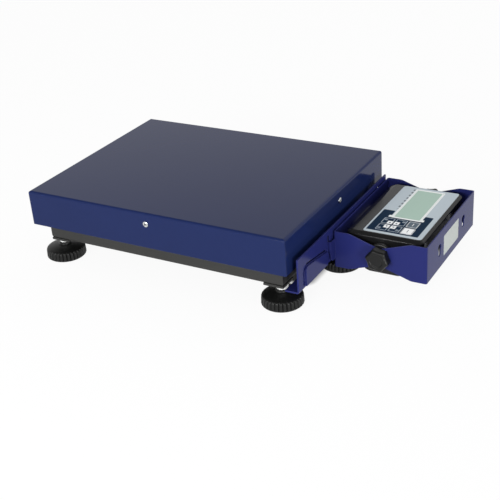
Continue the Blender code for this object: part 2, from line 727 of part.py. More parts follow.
def make_load_cell(root):
    half = CELL_LENGTH / 2
    middle = (CELL_BOTTOM + CELL_TOP) / 2
    # Two bores joined by a slot, as one outline in X and Z
    slot_angle = math.asin(CELL_SLOT / 2 / CELL_BORE_RADIUS)
    outline = []
    steps = 14
    for side, start in ((1, math.pi - slot_angle), (-1, -slot_angle)):
        sweep = 2 * (math.pi - slot_angle)
        for step in range(steps + 1):
            angle = start - sweep * step / steps
            outline.append((side * CELL_BORE_OFFSET + CELL_BORE_RADIUS * math.cos(angle),
                            middle + CELL_BORE_RADIUS * math.sin(angle)))
    bm = bmesh.new()
    prism(bm, "Y", box_outline(-half, half, CELL_BOTTOM, CELL_TOP),
          -CELL_WIDTH / 2, CELL_WIDTH / 2, [outline])
    cell = add_piece("load_cell", bm, "aluminium", root)
    cuts = bmesh.new()
    depth = CELL_BOLT_DEPTH + CELL_HOLE_SPARE
    for x, y in cell_bolt_places(-1):
        rod(cuts, "Z", CELL_BOLT_RADIUS + BORE_CLEARANCE, x, y,
            CELL_BOTTOM - depth, CELL_BOTTOM + depth)
    for x, y in cell_bolt_places(1):
        rod(cuts, "Z", CELL_BOLT_RADIUS + BORE_CLEARANCE, x, y, CELL_TOP - depth, CELL_TOP + depth)
    cut(cell, cuts)


def make_spacer(name, side, bottom, parent):
    half = SPACER_LENGTH / 2
    middle = side * CROSSBAR_OFFSET
    holes = [circle_outline(CELL_BOLT_RADIUS + BORE_CLEARANCE, 12, x, y)
             for x, y in cell_bolt_places(side)]
    bm = bmesh.new()
    prism(bm, "Z", box_outline(middle - half, middle + half, -SPACER_WIDTH / 2, SPACER_WIDTH / 2),
          bottom, bottom + SPACER_THICKNESS, holes)
    add_piece(name, bm, "zinc", parent)


def make_cell_bolts(names, side, seat, tip, parent):
    # The head stands on the far side of its seat from the tip
    away = math.copysign(CELL_BOLT_HEAD_HEIGHT, seat - tip)
    for name, (x, y) in zip(names, cell_bolt_places(side)):
        bm = turned([(0.0, tip), (CELL_BOLT_RADIUS, tip), (CELL_BOLT_RADIUS, seat),
                     (CELL_BOLT_HEAD_RADIUS, seat), (CELL_BOLT_HEAD_RADIUS, seat + away),
                     (0.0, seat + away)], 12)
        add_piece(name, bm, "zinc", parent, (x, y, 0.0))


# Platform

def cover_screw_places():
    return {"front": (COVER_SCREW_X, -HALF_WIDTH, 0), "right": (HALF_LENGTH, COVER_SCREW_Y, 1),
            "rear": (COVER_SCREW_X, HALF_WIDTH, 2), "left": (-HALF_LENGTH, COVER_SCREW_Y, 3)}


def weighing_frame_outline(inset):
    half_x, half_y = FRAME_HALF_LENGTH - inset, FRAME_HALF_WIDTH - inset
    return box_outline(-half_x, half_x, -half_y, half_y)


def weighing_frame_windows(grow):
    inner_x = FRAME_HALF_LENGTH - RAIL_WIDTH + grow
    inner_y = FRAME_HALF_WIDTH - RAIL_WIDTH + grow
    near, far = CROSSBAR_OFFSET - CROSSBAR_WIDTH / 2 + grow, CROSSBAR_OFFSET + CROSSBAR_WIDTH / 2 - grow
    return [box_outline(-inner_x, -far, -inner_y, inner_y),
            box_outline(-near, near, -inner_y, inner_y),
            box_outline(far, inner_x, -inner_y, inner_y)]


def make_weighing_frame(deck):
    # Welded tube: four rails and two crossbars, with blocks for the cover's screws and the load cell
    bm = bmesh.new()
    prism(bm, "Z", weighing_frame_outline(0.0), RAIL_BOTTOM, RAIL_TOP, weighing_frame_windows(0.0))
    frame = add_piece("weighing_frame", bm, "frame_paint", deck)
    inside = bmesh.new()
    prism(inside, "Z", weighing_frame_outline(RAIL_WALL), RAIL_BOTTOM + RAIL_WALL,
          RAIL_TOP - RAIL_WALL, weighing_frame_windows(RAIL_WALL))
    cut(frame, inside, "hollow")
    blocks = bmesh.new()
    half_x, half_y = MOUNT_BLOCK_LENGTH / 2, MOUNT_BLOCK_WIDTH / 2
    box(blocks, CROSSBAR_OFFSET - half_x, CROSSBAR_OFFSET + half_x, -half_y, half_y,
        RAIL_BOTTOM, RAIL_TOP - RAIL_WALL / 2)
    half, top = SCREW_BLOCK_WIDTH / 2, RAIL_BOTTOM + SCREW_BLOCK_HEIGHT
    for side in (-1, 1):
        low, high = screw_reach(side, HALF_LENGTH, FRAME_HALF_LENGTH - RAIL_WALL / 2)
        box(blocks, low, high, COVER_SCREW_Y - half, COVER_SCREW_Y + half, RAIL_BOTTOM, top)
        low, high = screw_reach(side, HALF_WIDTH, FRAME_HALF_WIDTH - RAIL_WALL / 2)
        box(blocks, COVER_SCREW_X - half, COVER_SCREW_X + half, low, high, RAIL_BOTTOM, top)
    join(frame, blocks)
    holes = bmesh.new()
    seat = RAIL_BOTTOM + MOUNT_BLOCK_WEB
    for x, y in cell_bolt_places(1):
        bore = circle_outline(CELL_BOLT_RADIUS + BORE_CLEARANCE, 12, x, y)
        head = circle_outline(CELL_BOLT_HEAD_RADIUS + CELL_BOLT_HEAD_SPARE, 12, x, y)
        loft(holes, [level(bore, RAIL_BOTTOM - RAIL_WALL), level(bore, seat), level(head, seat),
                     level(head, RAIL_TOP + RAIL_WALL)])
    screw_holes(holes)
    cut(frame, holes, "holes")


def screw_reach(side, face, inner):
    # From inside a rail to the cover's inner face, in order
    return sorted((side * inner, side * (face - COVER_SHEET - SEAT)))


def screw_holes(bm):
    # Through the cover's wall, the screw block and the rail's outer wall, on each side
    radius = COVER_SCREW_RADIUS + BORE_CLEARANCE
    for side in (-1, 1):
        low, high = sorted((side * (FRAME_HALF_LENGTH - 2 * RAIL_WALL),
                            side * (HALF_LENGTH + COVER_SHEET)))
        rod(bm, "X", radius, COVER_SCREW_Y, COVER_SCREW_Z, low, high)
        low, high = sorted((side * (FRAME_HALF_WIDTH - 2 * RAIL_WALL),
                            side * (HALF_WIDTH + COVER_SHEET)))
        rod(bm, "Y", radius, COVER_SCREW_X, COVER_SCREW_Z, low, high)


def make_platform_cover(deck):
    bm = bmesh.new()
    bmesh.ops.create_cube(bm, size=1.0)
    bmesh.ops.scale(bm, vec=(PLATFORM_LENGTH, PLATFORM_WIDTH, COVER_DEPTH), verts=bm.verts)
    bmesh.ops.translate(bm, vec=(0.0, 0.0, PLATFORM_TOP - COVER_DEPTH / 2), verts=bm.verts)
    below = [face for face in bm.faces if face.normal.z < -0.5]
    bmesh.ops.delete(bm, geom=below, context="FACES_ONLY")
    folds = [edge for edge in bm.edges if len(edge.link_faces) == 2]
    bmesh.ops.bevel(bm, geom=folds, offset=COVER_SHEET + COVER_INNER_BEND, segments=3, profile=0.5,
                    affect="EDGES", clamp_overlap=True)
    cover = add_piece("platform_cover", bm, "platform_paint", deck)
    wall = cover.modifiers.new("sheet", "SOLIDIFY")
    wall.thickness = COVER_SHEET
    wall.offset = -1.0
    wall.use_even_offset = True
    holes = bmesh.new()
    screw_holes(holes)
    cut(cover, holes)


def make_cover_screws(deck):
    head, height = COVER_SCREW_HEAD_RADIUS, COVER_SCREW_HEAD_HEIGHT
    for side, (x, y, quarter) in cover_screw_places().items():
        bm = turned([(0.0, -COVER_SCREW_LENGTH), (COVER_SCREW_RADIUS, -COVER_SCREW_LENGTH),
                     (COVER_SCREW_RADIUS, SEAT), (head, SEAT),
                     (head, SEAT + COVER_SCREW_HEAD_EDGE), (COVER_SCREW_CROWN_RADIUS, SEAT + height),
                     (0.0, SEAT + height)], 12)
        quarter_turns(bm, "X", 90)
        quarter_turns(bm, "Z", 90 * quarter)
        add_piece("cover_screw_" + side, bm, "zinc", deck, (x, y, COVER_SCREW_Z))


# Side bracket

def tongue_outline():
    # Rounded at its top front corner, its top edge falling towards the rear
    corner = TONGUE_CORNER
    points = [(TONGUE_REAR, TONGUE_FOOT), (TONGUE_REAR, TONGUE_TOP_REAR)]
    for step in range(5):
        angle = math.radians(90 + 22.5 * step)
        points.append((TONGUE_FRONT + corner * (1 + math.cos(angle)),
                       TONGUE_TOP_FRONT - corner * (1 - math.sin(angle))))
    points.append((TONGUE_FRONT, TONGUE_FOOT))
    return points


def tongue_slot_outline():
    # A band that follows the tongue's front and top edges, wider in front
    near, corner = TONGUE_SLOT_GAP, TONGUE_CORNER
    far, rise = near + TONGUE_FRONT_SLOT, near + TONGUE_TOP_SLOT
    inner = [(TONGUE_FRONT - near, TONGUE_FOOT + BRACKET_BEND),
             (TONGUE_FRONT - near, TONGUE_TOP_FRONT - corner),
             (TONGUE_FRONT + corner, TONGUE_TOP_FRONT + near),
             (TONGUE_REAR, TONGUE_TOP_REAR + near)]
    outer = [(TONGUE_REAR, TONGUE_TOP_REAR + rise),
             (TONGUE_FRONT + corner, TONGUE_TOP_FRONT + rise),
             (TONGUE_FRONT - far, TONGUE_TOP_FRONT - corner),
             (TONGUE_FRONT - far, TONGUE_FOOT + BRACKET_BEND)]
    return inner + outer


def hook_places():
    return [(y, y + HOOK_SHEET) for y in (HOOK_FRONT, HOOK_REAR)]


def make_side_bracket(root):
    bottom, sheet, bend = FOOT_PLATE_BOTTOM, BRACKET_SHEET, BRACKET_BEND
    outer_arc, inner_arc = [], []
    for step in range(4):
        angle = math.radians(-90 + 30 * step)
        outer_arc.append((BRACKET_OUTER - bend * (1 - math.cos(angle)),
                          bottom + bend * (1 + math.sin(angle))))
        inner_arc.append((BRACKET_OUTER - bend + (bend - sheet) * math.cos(angle),
                          bottom + bend + (bend - sheet) * math.sin(angle)))
    flange_end = BRACKET_OUTER - BRACKET_FLANGE
    profile = ([(flange_end, bottom)] + outer_arc + [(BRACKET_OUTER, BRACKET_TOP),
               (BRACKET_INNER, BRACKET_TOP)] + inner_arc[::-1] + [(flange_end, bottom + sheet)])
    bm = bmesh.new()
    prism(bm, "Y", profile, BRACKET_FRONT, BRACKET_REAR)
    bracket = add_piece("side_bracket", bm, "bracket_paint", root)

    extras = bmesh.new()
    for side in (-1, 1):
        middle = BRACKET_MIDDLE + side * BRACKET_TAB_OFFSET
        half = BRACKET_TAB_WIDTH / 2
        box(extras, BRACKET_OUTER - BRACKET_TAB_REACH, flange_end + sheet,
            middle - half, middle + half, bottom, bottom + sheet)
    prism(extras, "X", tongue_outline(), BRACKET_OUTER - sheet / 2, BRACKET_OUTER + TONGUE_STEP)
    # A bush clinched into the flange takes the thread of the bracket's own foot
    rod(extras, "Z", BUSH_RADIUS, BRACKET_FOOT_X, BRACKET_MIDDLE, bottom + sheet / 2,
        bottom + sheet + BUSH_HEIGHT)
    join(bracket, extras)

    cuts = bmesh.new()
    through_low, through_high = BRACKET_INNER - sheet, BRACKET_OUTER + sheet / 3
    prism(cuts, "X", tongue_slot_outline(), through_low, through_high)
    for front, rear in hook_places():
        prism(cuts, "X", box_outline(front - HOOK_SIDE_GAP, rear + HOOK_SIDE_GAP,
                                     HOOK_SEAT - SEAT, LUG_TOP + CRADLE_TRAVEL + 2 * SEAT),
              through_low, through_high + TONGUE_STEP)
    for x, y in bracket_screw_places().values():
        rod(cuts, "Z", BRACKET_SCREW_RADIUS + BORE_CLEARANCE, x, y, bottom - sheet, bottom + 2 * sheet)
    rod(cuts, "Z", STUD_RADIUS + BORE_CLEARANCE, BRACKET_FOOT_X, BRACKET_MIDDLE,
        bottom - sheet, bottom + sheet + 2 * BUSH_HEIGHT)
    cut(bracket, cuts)


def make_bracket_screws(root):
    seat = FOOT_PLATE_BOTTOM - SEAT
    head, height = BRACKET_SCREW_HEAD_RADIUS, BRACKET_SCREW_HEAD_HEIGHT
    for place, (x, y) in bracket_screw_places().items():
        bm = turned([(0.0, seat - height), (head, seat - height), (head, seat),
                     (BRACKET_SCREW_RADIUS, seat), (BRACKET_SCREW_RADIUS, seat + BRACKET_SCREW_LENGTH),
                     (0.0, seat + BRACKET_SCREW_LENGTH)], 12)
        add_piece("bracket_screw_" + place, bm, "zinc", root, (x, y, 0.0))


# Cradle

def notch_outline(side):
    # A V with eased shoulders: side is 1 for the top edge and -1 for the bottom edge
    edge = CRADLE_TOP if side > 0 else CRADLE_BOTTOM
    reach = CRADLE_LENGTH / 2 - NOTCH_SHOULDER
    slope = NOTCH_DEPTH / (reach - NOTCH_EASE / 2)
    outline = [(PIVOT_X - reach, edge + side * NOTCH_DEPTH)]
    rises = []
    for step in range(4):
        share = step / 3
        rises.append((reach - NOTCH_EASE * share, slope * NOTCH_EASE / 2 * share ** 2))
    outline += [(PIVOT_X - u, edge - side * drop) for u, drop in rises]
    outline.append((PIVOT_X, edge - side * NOTCH_DEPTH))
    outline += [(PIVOT_X + u, edge - side * drop) for u, drop in reversed(rises)]
    outline.append((PIVOT_X + reach, edge + side * NOTCH_DEPTH))
    return outline


def keyhole_outline(y, z):
    # Round head above, narrow slot below
    head, slot = KEYHOLE_HEAD_RADIUS, KEYHOLE_SLOT_RADIUS
    neck = math.asin(slot / head)
    points = []
    for step in range(9):
        angle = -math.pi / 2 + neck + (2 * math.pi - 2 * neck) * step / 8
        points.append((y + head * math.cos(angle), z + KEYHOLE_RISE + head * math.sin(angle)))
    for step in range(5):
        angle = math.pi + math.pi * step / 4
        points.append((y + slot * math.cos(angle), z - KEYHOLE_DROP + slot + slot * math.sin(angle)))
    return points


def make_cradle(lift):
    middle_x, middle_y = PIVOT_X, PIVOT_Y
    half_x, half_y = CRADLE_LENGTH / 2, CRADLE_DEPTH / 2
    outer = rounded_outline(half_x, half_y, CRADLE_BEND, 3, middle_x, middle_y)
    inner = rounded_outline(half_x - CRADLE_SHEET, half_y - CRADLE_SHEET,
                            CRADLE_BEND - CRADLE_SHEET, 3, middle_x, middle_y)
    bm = bmesh.new()
    loft(bm, [level(outer, CRADLE_BOTTOM), level(outer, CRADLE_TOP),
              level(inner, CRADLE_TOP), level(inner, CRADLE_BOTTOM)], closed=True)
    cradle = add_piece("cradle", bm, "bracket_paint", lift)

    extras = bmesh.new()
    corner = LUG_CORNER
    lug = [(CRADLE_FRONT + corner, LUG_BOTTOM), (CRADLE_FRONT + corner, LUG_TOP),
           (HOOK_FRONT, LUG_TOP), (HOOK_FRONT, LUG_BOTTOM + corner), (HOOK_FRONT + corner, LUG_BOTTOM)]
    prism(extras, "X", lug, CRADLE_LEFT, CRADLE_LEFT + CRADLE_SHEET)
    join(cradle, extras, "lug")
    hooks = bmesh.new()
    inside = CRADLE_LEFT - HOOK_REACH
    root_x = CRADLE_LEFT + CRADLE_SHEET / 2
    hook = [(root_x, LUG_TOP), (inside, LUG_TOP), (inside, HOOK_SEAT - HOOK_DROP),
            (inside + HOOK_NOSE, HOOK_SEAT - HOOK_DROP), (inside + HOOK_NOSE, HOOK_SEAT),
            (root_x, HOOK_SEAT)]
    for front, rear in hook_places():
        prism(hooks, "Y", hook, front, rear)
    join(cradle, hooks, "hooks")

    cuts = bmesh.new()
    for side in (1, -1):
        prism(cuts, "Y", notch_outline(side), CRADLE_FRONT - CRADLE_SHEET, CRADLE_REAR + CRADLE_SHEET)
    for side in (-1, 1):
        prism(cuts, "X", keyhole_outline(PIVOT_Y + side * KEYHOLE_SPREAD, PIVOT_Z),
              CRADLE_RIGHT - 2 * CRADLE_SHEET, CRADLE_RIGHT + CRADLE_SHEET)
    rod(cuts, "Y", PIVOT_HOLE_RADIUS, PIVOT_X, PIVOT_Z,
        CRADLE_FRONT - CRADLE_SHEET, CRADLE_REAR + CRADLE_SHEET)
    cut(cradle, cuts)


# Knobs and discs on the tilt axis. Each is drawn along +Z, away from the case, and then
# laid along -Y at the front or +Y at the rear

def knob_outline(radius_step):
    points = []
    steps = 48
    for step in range(steps):
        angle = 2 * math.pi * step / steps
        lobe = (1 + math.cos(6 * (angle - math.radians(KNOB_PHASE)))) / 2
        radius = KNOB_WAIST + (KNOB_RADIUS - KNOB_WAIST) * lobe ** 1.5 - radius_step
        points.append((radius * math.cos(angle), radius * math.sin(angle)))
    return points


def knob_mesh(stud_length):
    # A lobed grip with a shallow round dish in its face and a stud moulded into its back
    bm = bmesh.new()
    stud = circle_outline(KNOB_STUD_RADIUS, 12)
    rows = [level(knob_outline(KNOB_EDGE), 0.0), level(knob_outline(0.0), KNOB_EDGE),
            level(knob_outline(0.0), KNOB_THICKNESS - KNOB_FACE_EDGE),
            level(knob_outline(KNOB_FACE_EDGE), KNOB_THICKNESS)]
    rings = [[bm.verts.new(point) for point in row] for row in rows]
    dish = [[bm.verts.new(point) for point in level(circle_outline(radius, 24), z)]
            for radius, z in ((KNOB_DISH_RADIUS, KNOB_THICKNESS),
                              (KNOB_DISH_RADIUS - KNOB_EDGE, KNOB_THICKNESS - KNOB_DISH_DEPTH))]
    shank = [[bm.verts.new(point) for point in level(stud, z)] for z in (0.0, -stud_length)]
    for lower, upper in zip(rings, rings[1:]):
        join_rings(bm, lower, upper)
    join_rings(bm, rings[-1], dish[0])
    join_rings(bm, dish[0], dish[1])
    bm.faces.new(dish[1])
    join_rings(bm, rings[0], shank[0])
    join_rings(bm, shank[0], shank[1])
    bm.faces.new(shank[1])
    return bm


def axis_ends():
    # name, y of the cradle's outer face, outward direction
    return (("front", CRADLE_FRONT, -1), ("rear", CRADLE_REAR, 1))


def lay_outward(bm, outward):
    quarter_turns(bm, "X", 90 if outward < 0 else -90)


def make_axis_hardware(tilt):
    case_face = PIVOT_Y - CASE_DEPTH / 2
    disc_length = case_face - (CRADLE_FRONT + CRADLE_SHEET) - 2 * SEAT
    stud_length = SEAT + CRADLE_SHEET + SEAT + disc_length + SEAT + STUD_IN_CASE
    bore = KNOB_STUD_RADIUS + BORE_CLEARANCE
    start = -(CRADLE_SHEET + SEAT)
    for name, face, outward in axis_ends():
        from_pivot = face - PIVOT_Y
        bm = knob_mesh(stud_length)
        lay_outward(bm, outward)
        add_piece("knob_" + name, bm, "black_plastic", tilt, (0.0, from_pivot + outward * SEAT, 0.0))
        bm = turned([(bore, start - disc_length), (DISC_RADIUS, start - disc_length),
                     (DISC_RADIUS, start - DISC_EDGE), (DISC_RADIUS - DISC_EDGE, start),
                     (bore, start)], 32, closed=True)
        lay_outward(bm, outward)
        add_piece("pivot_disc_" + name, bm, "case_plastic", tilt, (0.0, from_pivot, 0.0))


# Terminal: drawn about the tilt axis, with x and y from the case's middle and z from the floor

def case_outline(inset_x, inset_y, radius):
    return rounded_outline(CASE_LENGTH / 2 - inset_x, CASE_DEPTH / 2 - inset_y, radius, 4)


def panel_outline(grow, radius):
    return rounded_outline(PANEL_LENGTH / 2 + grow, PANEL_DEPTH / 2 + grow, radius, 4,
                           PANEL_X, PANEL_Y)


def rim_outline():
    # The flat top, further in from the front and left edges than from the other two
    half_x = (CASE_LENGTH - RIM_SLOPE_LEFT - RIM_SLOPE_RIGHT) / 2
    half_y = (CASE_DEPTH - RIM_SLOPE_FRONT - RIM_SLOPE_REAR) / 2
    return rounded_outline(half_x, half_y, RIM_CORNER, 4, (RIM_SLOPE_LEFT - RIM_SLOPE_RIGHT) / 2,
                           (RIM_SLOPE_FRONT - RIM_SLOPE_REAR) / 2)


def lower_to_axis(bm):
    bmesh.ops.translate(bm, verts=bm.verts, vec=(0.0, 0.0, -PIVOT_Z))
    return bm


def make_case_top(tilt):
    edge_z = CASE_TOP - RIM_EDGE_HEIGHT
    slope_z = CASE_TOP - RIM_SLOPE_HEIGHT
    pocket_z = CASE_TOP - PANEL_THICKNESS - SEAT
    ledge_z = pocket_z - LEDGE_THICKNESS
    wall, corner = CASE_WALL, CASE_CORNER
    step = RIM_EDGE_STEP
    rows = [level(case_outline(0.0, 0.0, corner), TOP_SHELL_FOOT),
            level(case_outline(0.0, 0.0, corner), edge_z),
            level(case_outline(step, step, corner - step), slope_z),
            level(rim_outline(), CASE_TOP),
            level(panel_outline(SEAT, PANEL_CORNER + SEAT), CASE_TOP),
            level(panel_outline(SEAT, PANEL_CORNER + SEAT), pocket_z),
            level(panel_outline(-PANEL_LEDGE, PANEL_CORNER / 2), pocket_z),
            level(panel_outline(-PANEL_LEDGE, PANEL_CORNER / 2), ledge_z),
            level(case_outline(wall + step, wall + step, corner - wall - step), ledge_z),
            level(case_outline(wall, wall, corner - wall), TOP_SHELL_FOOT)]
    bm = bmesh.new()
    loft(bm, rows, closed=True)
    top = add_piece("case_top", lower_to_axis(bm), "case_plastic", tilt)
    columns = bmesh.new()
    for x in (-SCREW_COLUMN_X, SCREW_COLUMN_X):
        for y in (-SCREW_COLUMN_Y, SCREW_COLUMN_Y):
            pilot = circle_outline(CASE_SCREW_RADIUS + BORE_CLEARANCE, 8, x, y)
            prism(columns, "Z", circle_outline(SCREW_COLUMN_RADIUS - COLUMN_CLEARANCE, 12, x, y),
                  TOP_SHELL_FOOT + SEAT, ledge_z + LEDGE_THICKNESS / 2, [pilot])
    for x in BOARD_COLUMN_X:
        for y in (-BOARD_COLUMN_Y, BOARD_COLUMN_Y):
            rod(columns, "Z", BOARD_COLUMN_RADIUS, x, y, BOARD_TOP + SEAT,
                ledge_z + LEDGE_THICKNESS / 2, steps=8)
    join(top, lower_to_axis(columns))


def hull_outline(half_x, end_inset, radius):
    return rounded_outline(half_x, CASE_DEPTH / 2 - end_inset, radius, 4)


def door_outline(grow):
    return rounded_outline(BATTERY_LENGTH / 2 + DOOR_MARGIN + grow,
                           BATTERY_DEPTH / 2 + DOOR_MARGIN + grow, 0.003, 4)


def make_case_bottom(tilt):
    # A tub that tapers to a narrow flat, where the battery door opens
    top_z = TOP_SHELL_FOOT - 2 * SEAT - GASKET_THICKNESS
    wall, corner = CASE_WALL, CASE_CORNER
    half = CASE_LENGTH / 2
    flat, step = HULL_FLAT_HALF_LENGTH, HULL_END_STEP
    rows = [level(door_outline(DOOR_GAP), CASE_BOTTOM),
            level(hull_outline(flat, step, corner / 2), CASE_BOTTOM),
            level(hull_outline(HULL_HALF_LENGTH, 0.0, corner / 2), HULL_LOWER),
            level(hull_outline(half, 0.0, corner), HULL_SIDE_FOOT),
            level(hull_outline(half, 0.0, corner), top_z),
            level(hull_outline(half - wall, wall, corner - wall), top_z),
            level(hull_outline(half - wall, wall, corner - wall), HULL_SIDE_FOOT + wall),
            level(hull_outline(HULL_HALF_LENGTH - wall, wall, corner / 2 - wall / 2), HULL_LOWER + wall),
            level(hull_outline(flat - wall / 2, step, corner / 2 - wall / 2), CASE_BOTTOM + wall),
            level(door_outline(DOOR_GAP), CASE_BOTTOM + wall)]
    bm = bmesh.new()
    loft(bm, rows, closed=True)
    bottom = add_piece("case_bottom", lower_to_axis(bm), "case_plastic", tilt)
    columns = bmesh.new()
    for x in (-SCREW_COLUMN_X, SCREW_COLUMN_X):
        for y in (-SCREW_COLUMN_Y, SCREW_COLUMN_Y):
            around = circle_outline(SCREW_COLUMN_RADIUS, 12, x, y)
            loft(columns, [[(u, v, hull_middle(u)) for u, v in around], level(around, top_z - SEAT)])
    join(bottom, lower_to_axis(columns))
    cuts = bmesh.new()
    for x in (-SCREW_COLUMN_X, SCREW_COLUMN_X):
        for y in (-SCREW_COLUMN_Y, SCREW_COLUMN_Y):
            bore = circle_outline(CASE_SCREW_RADIUS + BORE_CLEARANCE, 12, x, y)
            head = circle_outline(CASE_SCREW_HEAD_RADIUS + BORE_CLEARANCE, 12, x, y)
            loft(cuts, [level(head, CASE_BOTTOM), level(head, CASE_SCREW_SEAT),
                        level(bore, CASE_SCREW_SEAT), level(bore, CASE_TOP)])
    rod(cuts, "Y", KNOB_STUD_RADIUS + BORE_CLEARANCE, 0.0, PIVOT_Z, -CASE_DEPTH, CASE_DEPTH)
    rod(cuts, "Z", GLAND_SHANK_RADIUS + BORE_CLEARANCE, 0.0, GLAND_Y,
        CASE_BOTTOM - wall, CASE_BOTTOM + 2 * wall)
    cut(bottom, lower_to_axis(cuts))


def hull_middle(x):
    # Height of the middle of the sloping wall at x, where the screw columns end
    rise = HULL_SIDE_FOOT - HULL_LOWER
    run = CASE_LENGTH / 2 - HULL_HALF_LENGTH
    outer = HULL_LOWER + (abs(x) - HULL_HALF_LENGTH) * rise / run
    inner = HULL_LOWER + CASE_WALL + (abs(x) + CASE_WALL - HULL_HALF_LENGTH) * rise / run
    return (outer + inner) / 2


def make_case_small_parts(tilt):
    gasket_z = TOP_SHELL_FOOT - SEAT - GASKET_THICKNESS
    inset = GASKET_INSET
    outer = case_outline(inset, inset, CASE_CORNER - inset)
    inner = case_outline(inset + GASKET_WIDTH, inset + GASKET_WIDTH, CASE_CORNER - inset - GASKET_WIDTH)
    bm = bmesh.new()
    loft(bm, [level(outer, gasket_z), level(outer, gasket_z + GASKET_THICKNESS),
              level(inner, gasket_z + GASKET_THICKNESS), level(inner, gasket_z)], closed=True)
    add_piece("case_gasket", lower_to_axis(bm), "rubber", tilt)

    seat = CASE_SCREW_SEAT - SEAT
    head, height = CASE_SCREW_HEAD_RADIUS, CASE_SCREW_HEAD_HEIGHT
    for end, y in (("front", -SCREW_COLUMN_Y), ("rear", SCREW_COLUMN_Y)):
        for side, x in (("left", -SCREW_COLUMN_X), ("right", SCREW_COLUMN_X)):
            bm = turned([(0.0, seat - height), (head, seat - height), (head, seat),
                         (CASE_SCREW_RADIUS, seat), (CASE_SCREW_RADIUS, CASE_SCREW_TIP),
                         (0.0, CASE_SCREW_TIP)], 8)
            add_piece("case_screw_%s_%s" % (end, side), lower_to_axis(bm), "zinc", tilt, (x, y, 0.0))

    bm = gland_mesh()
    quarter_turns(bm, "X", 180)
    add_piece("terminal_gland", bm, "black_plastic", tilt, (0.0, GLAND_Y, CASE_BOTTOM - PIVOT_Z))


def key_places():
    places = []
    for column in range(KEY_COLUMNS):
        for row in range(KEY_ROWS):
            places.append((KEY_FIRST_X + column * KEY_PITCH_X, KEY_FIRST_Y + row * KEY_PITCH_Y))
    return places


def window_outline(grow):
    return rounded_outline(WINDOW_LENGTH / 2 + grow, WINDOW_DEPTH / 2 + grow, WINDOW_CORNER, 2,
                           WINDOW_X, WINDOW_Y)


def key_outline(grow, x=0.0, y=0.0):
    return rounded_outline(KEY_LENGTH / 2 + grow, KEY_DEPTH / 2 + grow, KEY_CORNER, 2, x, y)


def make_front_panel(tilt):
    low = CASE_TOP - PANEL_THICKNESS
    holes = [window_outline(SEAT)] + [key_outline(KEY_GAP, x, y) for x, y in key_places()]
    bm = bmesh.new()
    prism(bm, "Z", panel_outline(0.0, PANEL_CORNER), low, CASE_TOP, holes)
    add_piece("front_panel", lower_to_axis(bm), "panel_film", tilt)
    bm = bmesh.new()
    prism(bm, "Z", window_outline(0.0), low, CASE_TOP)
    add_piece("display_window", lower_to_axis(bm), "window_film", tilt)

    module_top = low - SEAT
    half_x = WINDOW_LENGTH / 2 + MODULE_SIDE_MARGIN
    half_y = WINDOW_DEPTH / 2 + MODULE_END_MARGIN
    bm = bmesh.new()
    prism(bm, "Z", box_outline(WINDOW_X - half_x, WINDOW_X + half_x,
                               WINDOW_Y - half_y, WINDOW_Y + half_y),
          module_top - MODULE_THICKNESS, module_top)
    add_piece("display_module", lower_to_axis(bm), "board", tilt)


def make_keys(tilt):
    key_top = CASE_TOP + KEY_PROUD
    for index, (x, y) in enumerate(key_places()):
        bm = bmesh.new()
        prism(bm, "Z", key_outline(0.0), key_top - KEY_THICKNESS - PIVOT_Z, key_top - PIVOT_Z)
        add_piece("key_%d" % (index + 1), bm, "key_film", tilt, (x, y, 0.0))
    mat_top = key_top - KEY_THICKNESS - KEY_TRAVEL - KEY_SPARE
    xs, ys = zip(*key_places())
    outline = box_outline(min(xs) - KEY_LENGTH / 2 + MAT_MARGIN, max(xs) + KEY_LENGTH / 2 - MAT_MARGIN,
                          min(ys) - KEY_DEPTH / 2 + MAT_MARGIN, max(ys) + KEY_DEPTH / 2 - MAT_MARGIN)
    bm = bmesh.new()
    prism(bm, "Z", outline, BOARD_TOP + SEAT, mat_top)
    add_piece("keypad_mat", lower_to_axis(bm), "rubber", tilt)


def make_case_inside(tilt):
    bm = bmesh.new()
    box(bm, BOARD_LEFT_MARGIN - CASE_LENGTH / 2, CASE_LENGTH / 2 - BOARD_RIGHT_MARGIN,
        -BOARD_HALF_DEPTH, BOARD_HALF_DEPTH, BOARD_TOP - BOARD_THICKNESS, BOARD_TOP)
    add_piece("circuit_board", lower_to_axis(bm), "board", tilt)
    bm = bmesh.new()
    prism(bm, "Z", door_outline(0.0), CASE_BOTTOM, CASE_BOTTOM + CASE_WALL)
    add_piece("battery_cover", lower_to_axis(bm), "case_plastic", tilt)
    base = CASE_BOTTOM + CASE_WALL + SEAT
    bm = bmesh.new()
    outline = rounded_outline(BATTERY_LENGTH / 2, BATTERY_DEPTH / 2, 0.003, 2)
    prism(bm, "Z", outline, base, base + BATTERY_HEIGHT)
    add_piece("battery", lower_to_axis(bm), "battery_wrap", tilt)


